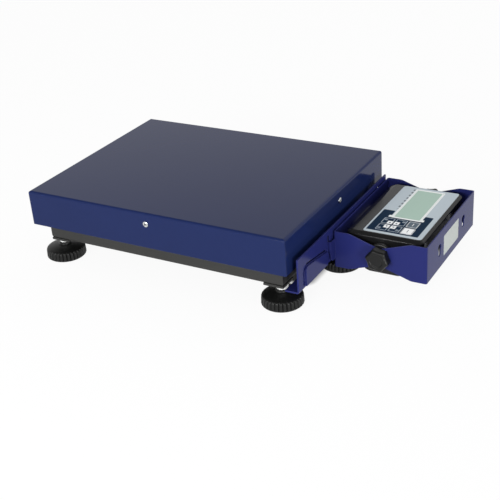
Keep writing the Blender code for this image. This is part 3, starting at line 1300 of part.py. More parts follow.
def build_scale():
    clear_scene()
    root = add_empty("floor_scale", (-FOOTPRINT_X, -FOOTPRINT_Y, 0.0))
    deck = add_empty("platform_travel_axis", (0.0, 0.0, 0.0), root)
    lift = add_empty("cradle_lift_axis", (0.0, 0.0, 0.0), root)
    tilt = add_empty("terminal_tilt_axis", (PIVOT_X, PIVOT_Y, PIVOT_Z), lift)
    make_feet(root)
    make_base_frame(root)
    make_load_cell_beam(root)
    make_frame_gland(root)
    make_load_cell(root)
    make_spacer("load_cell_lower_spacer", -1, LOWER_SPACER_BOTTOM, root)
    make_cell_bolts(("load_cell_lower_bolt_inner", "load_cell_lower_bolt_outer"), -1,
                    BEAM_TOP - BEAM_WALL - SEAT, CELL_BOTTOM + CELL_BOLT_DEPTH, root)
    make_spacer("load_cell_upper_spacer", 1, UPPER_SPACER_BOTTOM, deck)
    make_cell_bolts(("load_cell_upper_bolt_inner", "load_cell_upper_bolt_outer"), 1,
                    RAIL_BOTTOM + MOUNT_BLOCK_WEB + SEAT, CELL_TOP - CELL_BOLT_DEPTH, deck)
    make_weighing_frame(deck)
    make_platform_cover(deck)
    make_cover_screws(deck)
    make_side_bracket(root)
    make_bracket_screws(root)
    make_cradle(lift)
    make_axis_hardware(tilt)
    make_case_top(tilt)
    make_case_bottom(tilt)
    make_case_small_parts(tilt)
    make_front_panel(tilt)
    make_keys(tilt)
    make_case_inside(tilt)


build_scale()
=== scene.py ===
import json
import math

import bmesh
import bpy
import numpy as np
from mathutils import Matrix, Vector

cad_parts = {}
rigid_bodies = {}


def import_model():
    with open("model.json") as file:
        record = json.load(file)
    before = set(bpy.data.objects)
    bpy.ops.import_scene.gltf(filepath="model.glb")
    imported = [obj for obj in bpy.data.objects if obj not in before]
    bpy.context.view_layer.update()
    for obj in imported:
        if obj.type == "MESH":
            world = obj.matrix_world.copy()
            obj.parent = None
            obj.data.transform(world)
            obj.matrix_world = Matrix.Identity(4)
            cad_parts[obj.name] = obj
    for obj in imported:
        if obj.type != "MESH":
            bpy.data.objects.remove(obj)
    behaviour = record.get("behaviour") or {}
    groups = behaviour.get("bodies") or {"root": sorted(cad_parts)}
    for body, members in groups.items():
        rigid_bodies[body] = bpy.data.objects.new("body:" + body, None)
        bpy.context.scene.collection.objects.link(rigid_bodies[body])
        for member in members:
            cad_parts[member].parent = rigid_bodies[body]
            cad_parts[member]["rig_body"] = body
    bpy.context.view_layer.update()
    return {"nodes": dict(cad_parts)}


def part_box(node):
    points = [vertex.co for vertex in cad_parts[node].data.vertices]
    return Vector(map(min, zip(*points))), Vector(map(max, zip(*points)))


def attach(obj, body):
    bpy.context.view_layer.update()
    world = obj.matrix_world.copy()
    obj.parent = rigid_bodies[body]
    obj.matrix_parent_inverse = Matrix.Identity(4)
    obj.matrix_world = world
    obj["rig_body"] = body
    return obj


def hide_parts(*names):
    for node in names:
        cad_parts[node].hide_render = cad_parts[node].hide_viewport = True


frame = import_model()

nodes = frame["nodes"]
print("frame loaded:", len(nodes), "nodes")


# Meshes: a surface is a grid of points (rows, columns, 3), and a piece is one or more grids

def gridMesh(name, grids):
    # Quads between neighbouring points; a grid closed round its columns joins its ends
    points, quads, start = [], [], 0
    for grid, closed in grids:
        rows, columns = grid.shape[:2]
        across = columns if closed else columns - 1
        row, column = np.meshgrid(np.arange(rows - 1), np.arange(across), indexing="ij")
        after = (column + 1) % columns
        corners = (row * columns + column, row * columns + after,
                   (row + 1) * columns + after, (row + 1) * columns + column)
        quads.append(np.stack(corners, -1).reshape(-1, 4) + start)
        points.append(grid.reshape(-1, 3))
        start += rows * columns
    points, quads = np.concatenate(points), np.concatenate(quads)
    mesh = bpy.data.meshes.new(name)
    mesh.vertices.add(len(points))
    mesh.vertices.foreach_set("co", points.astype(np.float32).ravel())
    mesh.loops.add(quads.size)
    mesh.loops.foreach_set("vertex_index", quads.astype(np.int32).ravel())
    mesh.polygons.add(len(quads))
    mesh.polygons.foreach_set("loop_start", np.arange(0, quads.size, 4, dtype=np.int32))
    mesh.update(calc_edges=True)
    return mesh


def cleanMesh(mesh, angle, merge=2e-6):
    # Seams and poles are closed, and faces point outwards
    work = bmesh.new()
    work.from_mesh(mesh)
    bmesh.ops.remove_doubles(work, verts=work.verts, dist=merge)
    bmesh.ops.dissolve_degenerate(work, edges=work.edges, dist=merge / 2)
    bmesh.ops.recalc_face_normals(work, faces=work.faces)
    work.to_mesh(mesh)
    work.free()
    mesh.shade_smooth()
    mesh.set_sharp_from_angle(angle=math.radians(angle))


def flattenNormals(piece):
    # Normals follow the larger faces, so that flat walls between round corners stay flat
    flat = piece.modifiers.new("flatNormals", "WEIGHTED_NORMAL")
    flat.weight = 90
    flat.keep_sharp = True


def addPiece(name, grids, material, body, replaces, angle):
    mesh = gridMesh(name, grids)
    cleanMesh(mesh, angle)
    piece = bpy.data.objects.new(name, mesh)
    flattenNormals(piece)
    bpy.context.scene.collection.objects.link(piece)
    mesh.materials.append(material)
    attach(piece, body)
    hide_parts(*replaces)
    return piece


def easeCorners(rows, size, steps=4):
    # Each inner corner of a row of points becomes a short quadratic curve, which starts and
    # ends the given size before and after it, or just under half of the side it lies on
    rows = np.asarray(rows, float)
    sizes = np.broadcast_to(size, (len(rows),))
    share = np.linspace(0, 1, steps + 1)[:, None]
    eased = [rows[:1]]
    for index in range(1, len(rows) - 1):
        here, before, after = rows[index], rows[index - 1], rows[index + 1]
        if sizes[index] <= 0:
            eased.append(here[None])
            continue
        back, ahead = before - here, after - here
        start = here + back * min(0.45, sizes[index] / max(np.abs(back).max(), 1e-9))
        end = here + ahead * min(0.45, sizes[index] / max(np.abs(ahead).max(), 1e-9))
        eased.append((1 - share) ** 2 * start + 2 * share * (1 - share) * here + share ** 2 * end)
    eased.append(rows[-1:])
    return np.concatenate(eased)


def roundedProfile(corners, steps):
    # Corners whose last number is the size of the curve there
    corners = np.array(corners, float)
    return easeCorners(corners[:, :-1], corners[:, -1], steps)


def loopRows(rows, steps):
    # Rounded rectangles, one for each row of (half x, half y, corner radius, middle x, middle y, z)
    rows = np.asarray(rows, float)
    quarter = np.repeat(np.arange(4), steps + 1)
    turn = (quarter + np.tile(np.arange(steps + 1) / steps, 4)) * math.pi / 2
    sideX = np.array([1, -1, -1, 1])[quarter]
    sideY = np.array([1, 1, -1, -1])[quarter]
    halfX, halfY, radius, middleX, middleY, z = rows.T[:, :, None]
    x = middleX + sideX * (halfX - radius) + radius * np.cos(turn)
    y = middleY + sideY * (halfY - radius) + radius * np.sin(turn)
    return np.stack(np.broadcast_arrays(x, y, z + 0 * x), -1)


def turnedRows(profile, columns, shape=None):
    # A profile of (radius, z) turned about Z; shape(turn, radius, z) may change the radius
    profile = np.asarray(profile, float)
    turn = np.arange(columns) * 2 * math.pi / columns
    radius, z = profile[:, :1], profile[:, 1:]
    radius = radius + 0 * turn if shape is None else shape(turn, radius, z)
    return np.stack((radius * np.cos(turn), radius * np.sin(turn), z + 0 * turn), -1)


def placeOf(node):
    low, high = (np.array(corner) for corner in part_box(node))
    return low, high, (low + high) / 2


def middleOf(node):
    return placeOf(node)[2]


def outwardFrame(node, outward):
    # The middle of the node's outermost face, and rows that turn Z to the outward direction
    low, high, middle = placeOf(node)
    outward = np.array(outward, float)
    along = np.abs(outward)
    tip = np.where(outward > 0, high, low) * along + middle * (1 - along)
    sideways = np.array([0, 1.0, 0]) if along[2] else np.array([-outward[1], outward[0], 0.0])
    return tip, np.stack((sideways, np.cross(outward, sideways), outward))


# Shared looks: node groups that put out colours, masks and normals

class Wiring:
    # Short calls for a node tree: w.node(type, inputs by name or number) gives the node
    def __init__(self, tree):
        self.tree = tree

    def link(self, source, target):
        self.tree.links.new(source, target)

    def node(self, kind, values=None, **settings):
        made = self.tree.nodes.new(kind)
        for key, value in settings.items():
            setattr(made, key, value)
        for key, value in (values or {}).items():
            if isinstance(value, bpy.types.NodeSocket):
                self.link(value, made.inputs[key])
            else:
                made.inputs[key].default_value = value
        return made

    def math(self, operation, *values, clamp=False):
        return self.node("ShaderNodeMath", dict(enumerate(values)), operation=operation,
                         use_clamp=clamp).outputs[0]

    def vector(self, operation, *values):
        made = self.node("ShaderNodeVectorMath", dict(enumerate(values)), operation=operation)
        return made.outputs["Value" if operation == "DOT_PRODUCT" else "Vector"]

    def scaled(self, vector, factor):
        return self.node("ShaderNodeVectorMath", {0: vector, "Scale": factor},
                         operation="SCALE").outputs[0]

    def parts(self, vector):
        return self.node("ShaderNodeSeparateXYZ", {0: vector}).outputs

    def noise(self, place, scale, detail):
        values = {"Vector": place, "Scale": scale, "Detail": detail}
        return self.node("ShaderNodeTexNoise", values).outputs[0]

    def mixColour(self, factor, first, second):
        values = {0: factor, 6: first, 7: second}
        return self.node("ShaderNodeMix", values, data_type="RGBA").outputs[2]

    def mixNumber(self, factor, first, second):
        return self.node("ShaderNodeMix", {0: factor, 2: first, 3: second}).outputs[0]


def newGroup(name, inputs, outputs):
    tree = bpy.data.node_groups.new(name, "ShaderNodeTree")
    for side, sockets in (("INPUT", inputs), ("OUTPUT", outputs)):
        for label, kind, value in sockets:
            socket = tree.interface.new_socket(label, in_out=side, socket_type="NodeSocket" + kind)
            if value is not None:
                socket.default_value = value
    w = Wiring(tree)
    return w, w.node("NodeGroupInput").outputs, w.node("NodeGroupOutput").inputs


# What all finishes share: their noise scales, and how edge wear and painted edge highlight are
# spread
surface = {"mottleScale": 9.0, "wearAndHighlightScale": 140.0, "bendGain": 5.0, "wearAndHighlightGain": 1.2,
           "wearAndHighlightLeast": 0.1}


def makeSurfaceGroup():
    # Two sizes of noise: a broad one shifts the colour, a fine one lifts the surface
    w, given, result = newGroup("paintedSurface", [
        ("Vector", "Vector", None), ("Colour", "Color", (0.5, 0.5, 0.5, 1)),
        ("Mottle", "Float", 0.06), ("Grain Size", "Float", 0.001),
        ("Grain Depth", "Float", 0.00002), ("Roughness", "Float", 0.4),
        ("Roughness Spread", "Float", 0.05), ("Edge Radius", "Float", 0.0006),
        ("Edge Colour", "Color", (0.6, 0.6, 0.6, 1)), ("Edge Amount", "Float", 0.25)],
        [("Colour", "Color", None), ("Roughness", "Float", None), ("Normal", "Vector", None)])
    broad = w.noise(given["Vector"], surface["mottleScale"], 3.0)
    fine = w.noise(given["Vector"], w.math("DIVIDE", 1.0, given["Grain Size"]), 2.0)
    level = w.math("MULTIPLY", w.math("SUBTRACT", broad, 0.5), given["Mottle"])
    mottled = w.scaled(given["Colour"], w.math("ADD", 1.0, level))
    # Within the edge radius of a bend the edge colour is mixed in: rubbed paint and a painted
    # highlight
    bevel = w.node("ShaderNodeBevel", {"Radius": given["Edge Radius"]}, samples=6)
    plain = w.node("ShaderNodeNewGeometry").outputs["Normal"]
    bend = w.math("SUBTRACT", 1.0, w.vector("DOT_PRODUCT", bevel.outputs[0], plain))
    patchy = w.noise(given["Vector"], surface["wearAndHighlightScale"], 4.0)
    wearAndHighlight = w.math("MULTIPLY_ADD", patchy, surface["wearAndHighlightGain"], surface["wearAndHighlightLeast"], clamp=True)
    bend = w.math("MULTIPLY", bend, surface["bendGain"], clamp=True)
    edge = w.math("MULTIPLY", bend, wearAndHighlight, clamp=True)
    amount = w.math("MULTIPLY", edge, given["Edge Amount"])
    w.link(w.mixColour(amount, mottled, given["Edge Colour"]), result["Colour"])
    spread = w.math("MULTIPLY", w.math("SUBTRACT", fine, 0.5), given["Roughness Spread"])
    w.link(w.math("ADD", given["Roughness"], spread), result["Roughness"])
    bump = w.node("ShaderNodeBump", {"Height": fine, "Distance": given["Grain Depth"]})
    w.link(bump.outputs[0], result["Normal"])
    return w.tree


def makePatchGroup():
    # A rounded rectangle in X and Y: 1 inside and 0 outside, with a soft border
    w, given, result = newGroup("roundedPatch", [
        ("Vector", "Vector", None), ("Middle", "Vector", (0, 0, 0)),
        ("Half Size", "Vector", (1, 1, 0)), ("Corner", "Float", 0.001),
        ("Border", "Float", 0.0001)], [("Mask", "Float", None), ("Depth", "Float", None)])
    fromMiddle = w.vector("ABSOLUTE", w.vector("SUBTRACT", given["Vector"], given["Middle"]))
    parts = w.parts(w.vector("SUBTRACT", fromMiddle, given["Half Size"]))
    x, y = (w.math("ADD", part, given["Corner"]) for part in (parts[0], parts[1]))
    outside = w.math("SQRT", w.math("ADD", w.math("POWER", w.math("MAXIMUM", x, 0.0), 2.0),
                                    w.math("POWER", w.math("MAXIMUM", y, 0.0), 2.0)))
    inside = w.math("MINIMUM", w.math("MAXIMUM", x, y), 0.0)
    depth = w.math("SUBTRACT", given["Corner"], w.math("ADD", outside, inside))
    mask = w.math("MULTIPLY_ADD", w.math("DIVIDE", depth, given["Border"]), 0.5, 0.5, clamp=True)
    w.link(mask, result["Mask"])
    w.link(depth, result["Depth"])
    return w.tree


surfaceGroup = makeSurfaceGroup()
patchGroup = makePatchGroup()
# The surface group's sockets and the names of their values in a look; the group has the defaults
surfaceSockets = {"Mottle": "mottle", "Grain Size": "grainSize", "Grain Depth": "grainDepth",
                  "Roughness": "roughness", "Roughness Spread": "spread",
                  "Edge Radius": "edgeRadius", "Edge Amount": "edgeAmount"}


def newMaterial(name, roughness, metallic=0.0, specular=0.5):
    material = bpy.data.materials.new(name)
    material.use_nodes = True
    shader = material.node_tree.nodes["Principled BSDF"]
    shader.inputs["Roughness"].default_value = roughness
    shader.inputs["Metallic"].default_value = metallic
    shader.inputs["Specular IOR Level"].default_value = specular
    return material, Wiring(material.node_tree), shader


def objectPlace(w):
    return w.node("ShaderNodeTexCoord").outputs["Object"]


def surfaceMaterial(name, look, pattern=None):
    # One finish from the shared surface group; a pattern gives its colour from place to place,
    # and a look's gloss gives the specular level
    material, w, shader = newMaterial(name, look["roughness"], look.get("metallic", 0.0),
                                      look.get("specular", 0.5))
    group = w.node("ShaderNodeGroup", node_tree=surfaceGroup)
    place = objectPlace(w)
    w.link(place, group.inputs["Vector"])
    if pattern:
        w.link(pattern(w, place, look), group.inputs["Colour"])
    else:
        group.inputs["Colour"].default_value = (*look["colour"], 1)
    group.inputs["Edge Colour"].default_value = (*look.get("edgeColour", look["colour"]), 1)
    for label, key in surfaceSockets.items():
        if key in look:
            group.inputs[label].default_value = look[key]
    w.link(group.outputs["Colour"], shader.inputs["Base Color"])
    w.link(group.outputs["Roughness"], shader.inputs["Roughness"])
    w.link(group.outputs["Normal"], shader.inputs["Normal"])
    if "gloss" in look:
        w.link(look["gloss"](w, place), shader.inputs["Specular IOR Level"])
    return material


def patch(w, place, middle, half, corner, border=0.0002):
    # The mask and the depth inside one rounded rectangle
    group = w.node("ShaderNodeGroup", {"Vector": place, "Middle": middle, "Half Size": (*half, 0),
                                       "Corner": corner, "Border": border}, node_tree=patchGroup)
    return group.outputs["Mask"], group.outputs["Depth"]


def lineAt(w, depth, inset, width, border=0.0002):
    # 1 on a line of the given width that runs round a patch at an inset from its edge
    away = w.math("ABSOLUTE", w.math("SUBTRACT", depth, inset))
    return w.math("DIVIDE", w.math("SUBTRACT", width / 2 + border / 2, away), border, clamp=True)


def inkOver(w, colour, mask, ink):
    return w.mixColour(mask, colour, (*ink, 1))


finishes = {
    # The pan's edge colour, darker and bluer than its paint, is a painted dark line along its folds
    "platformPaint": {"colour": (0.0088, 0.0165, 0.0690), "roughness": 0.12, "mottle": 0.10,
                      "spread": 0.04, "grainSize": 0.0016, "grainDepth": 0.000004,
                      "edgeColour": (0.004, 0.012, 0.10), "edgeAmount": 0.5, "specular": 0.12},
    # The sheet's edge colour, far lighter than its paint, is a painted highlight along its edges
    "bracketPaint": {"colour": (0.0150, 0.0190, 0.1030), "roughness": 0.17, "mottle": 0.10,
                     "spread": 0.05, "grainSize": 0.0014, "grainDepth": 0.000005,
                     "edgeColour": (0.20, 0.20, 0.48), "edgeAmount": 0.55, "specular": 0.07},
    "framePaint": {"colour": (0.0195, 0.0195, 0.0185), "roughness": 0.6, "mottle": 0.18,
                   "grainSize": 0.0009, "grainDepth": 0.00005, "edgeColour": (0.06, 0.06, 0.058),
                   "edgeAmount": 0.4, "specular": 0.35},
    "blackPlastic": {"colour": (0.0048, 0.0050, 0.0048), "roughness": 0.42, "mottle": 0.2,
                     "grainSize": 0.0006, "grainDepth": 0.00002, "edgeColour": (0.05, 0.05, 0.05),
                     "edgeAmount": 0.25, "specular": 0.24},
    # The case's edge colour, far lighter than its plastic, is a painted highlight along its edges
    # and front ridge
    "casePlastic": {"colour": (0.0085, 0.0085, 0.0088), "roughness": 0.20, "mottle": 0.08,
                    "grainSize": 0.0005, "grainDepth": 0.000006, "edgeColour": (0.42, 0.42, 0.41),
                    "edgeRadius": 0.0011, "edgeAmount": 0.55, "specular": 0.22},
    "zinc": {"colour": (0.62, 0.63, 0.63), "roughness": 0.24, "metallic": 1.0, "mottle": 0.25,
             "grainSize": 0.0008, "grainDepth": 0.00001, "spread": 0.22,
             "edgeColour": (0.85, 0.85, 0.85), "edgeAmount": 0.3},
    # Studs and nuts of the feet: a lighter, less metallic copy of the zinc, as painted light on
    # parts in shade
    "paintedLightZinc": {"colour": (0.72, 0.73, 0.72), "roughness": 0.40, "metallic": 0.3, "mottle": 0.25,
                   "grainSize": 0.0008, "grainDepth": 0.00001, "spread": 0.2,
                   "edgeColour": (0.9, 0.9, 0.9), "edgeAmount": 0.3},
    "aluminium": {"colour": (0.66, 0.67, 0.68), "roughness": 0.38, "metallic": 1.0, "mottle": 0.12,
                  "grainSize": 0.0005, "grainDepth": 0.00002, "spread": 0.2,
                  "edgeColour": (0.85, 0.85, 0.85), "edgeAmount": 0.3},
    "rubber": {"colour": (0.012, 0.012, 0.012), "roughness": 0.85, "mottle": 0.2},
    "boardMask": {"colour": (0.010, 0.090, 0.035), "roughness": 0.45, "mottle": 0.3},
    "batteryWrap": {"colour": (0.020, 0.022, 0.030), "roughness": 0.40, "mottle": 0.1},
}
materials = {name: surfaceMaterial(name, look) for name, look in finishes.items()}
print("finishes made:", len(materials))


# Stage: floor, world, lamps and camera

stage = {
    "cameraPlace": (0.86465, -1.4443, 0.8731), "yaw": 31.2647, "pitch": -27.5732, "roll": -4.3105,
    "lens": 72.371, "sensor": 36.0, "worldLevel": 0.62,
    "ceiling": 0.22, "ceilingFrom": 0.52, "ceilingTo": 0.68,
    "floorSize": 14.0, "floorPlain": 0.93, "floorColour": (0.93, 0.93, 0.935), "floorGrain": 0.01,
    "shaded": (((-0.085, 0.0425), (0.245, 0.1375)), ((0.263, 0.095), (0.063, 0.075))),
    "shadeCorner": 0.02, "shadeBorder": 0.008, "shadeDepth": 0.85,
    "lamps": (("frontLamp", (-0.08, -2.3, 0.75), (1.5, 0.5), 42.0),
              ("rightLamp", (2.2, -1.4, 0.15), (0.7, 0.15), 28.0),
              ("rearLamp", (0.4, 2.0, 2.2), (1.6, 1.6), 6.0)),
}


def seenDirectly(w):
    # 1 where the camera, a reflection or a view through glass meets the surface
    path = w.node("ShaderNodeLightPath").outputs
    seen = w.math("MAXIMUM", path["Is Camera Ray"], path["Is Glossy Ray"])
    return w.math("MAXIMUM", seen, path["Is Transmission Ray"])


def makeFloor():
    half = stage["floorSize"] / 2
    corners = np.array([[(-half, -half, 0), (half, -half, 0)], [(-half, half, 0), (half, half, 0)]])
    mesh = gridMesh("floor", [(corners, False)])
    floor = bpy.data.objects.new("floor", mesh)
    bpy.context.scene.collection.objects.link(floor)
    material, w, shader = newMaterial("floorPaper", 0.9, specular=0.0)
    grain, depth = w.noise(objectPlace(w), 40.0, 4.0), stage["floorGrain"]
    tone = w.math("MULTIPLY_ADD", grain, depth, 1 - depth / 2)
    # Deep under the object the floor is painted darker, as painted shade, and is seen as it is lit,
    # so that gaps stay dark
    under = w.math("MAXIMUM", *[patch(w, objectPlace(w), (*middle, 0), half, stage["shadeCorner"],
                                      stage["shadeBorder"])[0] for middle, half in stage["shaded"]])
    tone = w.math("MULTIPLY", tone, w.math("MULTIPLY_ADD", under, -stage["shadeDepth"], 1.0))
    w.link(w.scaled(stage["floorColour"], tone), shader.inputs["Base Color"])
    glow = w.node("ShaderNodeEmission", {"Color": (1, 1, 1, 1), "Strength": 1.0})
    share = w.math("MULTIPLY", w.math("MULTIPLY", seenDirectly(w), stage["floorPlain"]),
                   w.math("SUBTRACT", 1.0, under))
    mixed = w.node("ShaderNodeMixShader", {0: share, 1: shader.outputs[0], 2: glow.outputs[0]})
    w.link(mixed.outputs[0], material.node_tree.nodes["Material Output"].inputs[0])
    mesh.materials.append(material)


def makeWorld():
    world = bpy.data.worlds.new("studio")
    bpy.context.scene.world = world
    world.use_nodes = True
    w = Wiring(world.node_tree)
    background = world.node_tree.nodes["Background"]
    background.inputs["Color"].default_value = (1, 1, 1, 1)
    # Reflections meet white walls and a dim ceiling; the camera sees white all round
    path = w.node("ShaderNodeLightPath").outputs
    direction = w.node("ShaderNodeTexCoord").outputs["Generated"]
    height = w.parts(direction)[2]
    rise = w.node("ShaderNodeMapRange", {"Value": height, "From Min": stage["ceilingFrom"],
                                         "From Max": stage["ceilingTo"], "To Min": 1.0,
                                         "To Max": stage["ceiling"]}).outputs[0]
    reflected = w.mixNumber(w.math("MAXIMUM", path["Is Glossy Ray"], path["Is Transmission Ray"]),
                            stage["worldLevel"], rise)
    strength = w.mixNumber(path["Is Camera Ray"], reflected, 1.0)
    w.link(strength, background.inputs["Strength"])


def makeLamps():
    for name, place, size, power in stage["lamps"]:
        lamp = bpy.data.lights.new(name, "AREA")
        lamp.shape = "RECTANGLE"
        lamp.size, lamp.size_y = size
        lamp.energy = power
        holder = bpy.data.objects.new(name, lamp)
        holder.location = place
        holder.rotation_euler = (-Vector(place)).to_track_quat("-Z", "Y").to_euler()
        bpy.context.scene.collection.objects.link(holder)


def makeCamera():
    yaw, pitch, roll = (math.radians(stage[turn]) for turn in ("yaw", "pitch", "roll"))
    forward = Vector((-math.sin(yaw) * math.cos(pitch), math.cos(yaw) * math.cos(pitch),
                      math.sin(pitch)))
    level = Vector((math.cos(yaw), math.sin(yaw), 0))
    upright = level.cross(forward)
    right = math.cos(roll) * level + math.sin(roll) * upright
    up = math.cos(roll) * upright - math.sin(roll) * level
    lens = bpy.data.cameras.new("camera")
    lens.lens = stage["lens"]
    lens.sensor_width = stage["sensor"]
    lens.clip_end = 30
    camera = bpy.data.objects.new("camera", lens)
    camera.matrix_world = Matrix((
        (right.x, up.x, -forward.x, stage["cameraPlace"][0]),
        (right.y, up.y, -forward.y, stage["cameraPlace"][1]),
        (right.z, up.z, -forward.z, stage["cameraPlace"][2]), (0, 0, 0, 1)))
    bpy.context.scene.collection.objects.link(camera)
    bpy.context.scene.camera = camera


bpy.context.scene.view_settings.view_transform = "Standard"
makeFloor()
makeWorld()
makeLamps()
makeCamera()
print("stage set")


# Platform: a folded steel pan with round folds, and its pan-head screws

pan = {"fold": 0.0048, "foldSteps": 6, "sheet": 0.002, "corner": 0.0024, "leastCorner": 0.0002,
       "lip": 0.0005}


def makePan():
    low, high, middle = placeOf("platform_cover")
    half = (high - low) / 2
    fold, sheet, lip = pan["fold"], pan["sheet"], pan["lip"]
    turn = np.linspace(math.pi / 2, 0, pan["foldSteps"] + 1)

    def row(inset, z):
        corner = np.maximum(pan["corner"] - inset, pan["leastCorner"])
        return np.stack(np.broadcast_arrays(half[0] - inset, half[1] - inset, corner,
                                            middle[0], middle[1], z), -1).reshape(-1, 6)

    centre = np.array([[0, 0, 0, middle[0], middle[1], high[2]]])
    innerCentre = np.array([[0, 0, 0, middle[0], middle[1], high[2] - sheet]])
    outerFold = row(fold * (1 - np.cos(turn)), high[2] - fold * (1 - np.sin(turn)))
    lipTop = low[2] + 4 * lip
    edge = easeCorners(np.concatenate((row(0, lipTop), row(0, low[2]), row(sheet, low[2]),
                                       row(sheet, lipTop))), lip, 3)
    inner, turn = fold - sheet, turn[::-1]
    innerFold = row(sheet + inner * (1 - np.cos(turn)),
                    high[2] - sheet - inner * (1 - np.sin(turn)))
    rows = np.concatenate((centre, outerFold, edge, innerFold, innerCentre))
    addPiece("panShell", [(loopRows(rows, 5), True)], materials["platformPaint"], "platform",
             ["platform_cover"], 32)


screw = {"rim": 0.36, "recess": 0.25, "slot": 0.19, "reach": 0.60, "columns": 64,
         "shade": (0.05, 0.05, 0.055)}
# Each kind's head radius and height, and its shank's radius and length
screwSizes = {"cover": (0.0052, 0.0025, 0.0024, 0.009), "bracket": (0.0052, 0.004, 0.003, 0.012),
              "case": (0.0035, 0.0025, 0.0018, 0.0233)}
coverSides = {"front": (0, -1, 0), "right": (1, 0, 0), "rear": (0, 1, 0), "left": (-1, 0, 0)}


def headPattern(w, place, look):
    # The cross recess is painted darker, as painted shade in the recess
    recess = w.node("ShaderNodeAttribute", attribute_name="recess").outputs["Fac"]
    return w.mixColour(recess, (*look["colour"], 1), (*screw["shade"], 1))


materials["zincHead"] = surfaceMaterial("zincHead", finishes["zinc"], headPattern)


def crossRecess(x, y, slot, reach):
    # 1 on the two arms of a cross recess and 0 outside it, with sloping walls
    def arm(along, across):
        return (np.clip((slot - np.abs(across)) / (slot * 0.5), 0, 1)
                * np.clip((reach - np.abs(along)) / (reach * 0.35), 0, 1))

    return np.maximum(arm(x, y), arm(y, x))


def screwHead(radius, height, slot, reach):
    # A domed head above z = 0: the height falls off as the square of the radius, less the cross
    rim, recess, columns = screw["rim"] * height, radius * screw["recess"], screw["columns"]
    radii = np.concatenate((np.linspace(0, reach * 1.2, 16),
                            np.linspace(reach * 1.3, radius * 0.93, 8)))[:, None]
    turn = np.arange(columns) * 2 * math.pi / columns
    x, y = radii * np.cos(turn), radii * np.sin(turn)
    dome = rim + (height - rim) * (1 - (radii / radius) ** 2)
    top = np.stack((x, y, dome - recess * crossRecess(x, y, slot, reach)), -1)
    skirt = turnedRows([(radius * 0.985, rim + 0.0001), (radius, rim * 0.6), (radius, 0.0),
                        (0.0, 0.0)], columns)
    return np.concatenate((top, skirt))


def makePanScrew(name, node, body, outward, kind):
    # The head stands on the node's outermost face along the outward direction
    tip, turn = outwardFrame(node, outward)
    radius, height, shank, length = screwSizes[kind]
    slot, reach = radius * screw["slot"], radius * screw["reach"]
    top = screwHead(radius, height, slot, reach)
    rod = turnedRows([(0.0, -length), (shank - 0.0004, -length), (shank, 0.0006 - length),
                      (shank, 0.0003), (0.0, 0.0003)], 20)
    base = tip - turn[2] * height
    piece = addPiece(name, [(top @ turn + base, True), (rod @ turn + base, True)],
                     materials["zincHead"], body, [node], 40)
    places = np.empty(len(piece.data.vertices) * 3, np.float32)
    piece.data.vertices.foreach_get("co", places)
    x, y, z = ((places.reshape(-1, 3) - base) @ turn.T).T
    depth = (crossRecess(x, y, slot, reach) * (z > 0)).astype(np.float32)
    piece.data.attributes.new("recess", "FLOAT", "POINT").data.foreach_set("value", depth)


makePan()
for side, outward in coverSides.items():
    makePanScrew("coverScrewHead_" + side, "cover_screw_" + side, "platform", outward, "cover")
print("platform made")


# Levelling feet: fluted pad, threaded stud and jam nut

foot = {"places": ("front_left", "front_right", "rear_left", "rear_right", "bracket"),
        "flutes": 32, "fluteDepth": 0.0021, "fluteWidth": 0.50, "columnsPerFlute": 10,
        "rimFrom": 0.0335, "rimFade": 0.0016, "fluteLow": 0.0012, "lowFade": 0.0015,
        "fluteHigh": 0.0186, "highFade": 0.0014,
        "threadPitch": 0.0015, "threadDepth": 0.0007, "threadFade": 0.0015, "endTaper": 0.0005,
        "rowsPerTurn": 6, "threadColumns": 20,
        "nutFlats": 0.019, "nutDrop": 0.0016, "nutChamfer": 0.0012, "nutColumns": 72,
        "bore": 0.0054}


def padProfile():
    # (radius, height, curve) from the middle of the sole, over the rim and the dome, into the bore
    return roundedProfile([
        (0.0, 0.0012, 0), (0.012, 0.0012, 0.0005), (0.0135, 0.0, 0.0005), (0.026, 0.0, 0.0005),
        (0.0272, 0.0010, 0.0005), (0.029, 0.0010, 0.0005), (0.0302, 0.0, 0.0005),
        (0.0340, 0.0, 0.0012), (0.0372, 0.0025, 0.0012), (0.0364, 0.0170, 0.0024),
        (0.0330, 0.0195, 0.003), (0.0220, 0.0226, 0.004), (0.0135, 0.0242, 0.001),
        (0.0110, 0.0252, 0.0012), (0.0105, 0.0290, 0.0006), (foot["bore"], 0.0290, 0.0004),
        (foot["bore"], 0.0087, 0), (0.0, 0.0087, 0)], 5)


def fluted(turn, radius, z):
    # V grooves round the rim, which run out at its top and bottom edges
    phase = np.abs((turn * foot["flutes"] / (2 * math.pi)) % 1 - 0.5) * 2
    groove = np.clip(1 - phase / foot["fluteWidth"], 0, 1)
    onRim = (np.clip((radius - foot["rimFrom"]) / foot["rimFade"], 0, 1)
             * np.clip((z - foot["fluteLow"]) / foot["lowFade"], 0, 1)
             * np.clip((foot["fluteHigh"] - z) / foot["highFade"], 0, 1))
    return radius - foot["fluteDepth"] * groove * onRim


def threaded(radius, low, high):
    # A thread as a wave along the rod, shifted by one pitch for each turn
    rows = int((high - low) / foot["threadPitch"] * foot["rowsPerTurn"])
    z = np.linspace(low, high, rows)[:, None]
    turn = np.arange(foot["threadColumns"]) * 2 * math.pi / foot["threadColumns"]
    phase = (z / foot["threadPitch"] - turn / (2 * math.pi)) % 1
    fade = (np.clip((high - z) / foot["threadFade"], 0, 1)
            * np.clip((z - low) / foot["threadFade"], 0, 1))
    cut = foot["threadDepth"] * np.clip(1.25 * np.abs(phase - 0.5) * 2 - 0.125, 0, 1)
    reach = radius - cut * fade - foot["endTaper"] * (1 - fade)
    body = np.stack((reach * np.cos(turn), reach * np.sin(turn), z + 0 * turn), -1)
    ends = np.zeros((2, foot["threadColumns"], 3))
    ends[:, :, 2] = [[low], [high]]
    return np.concatenate((ends[:1], body, ends[1:]))


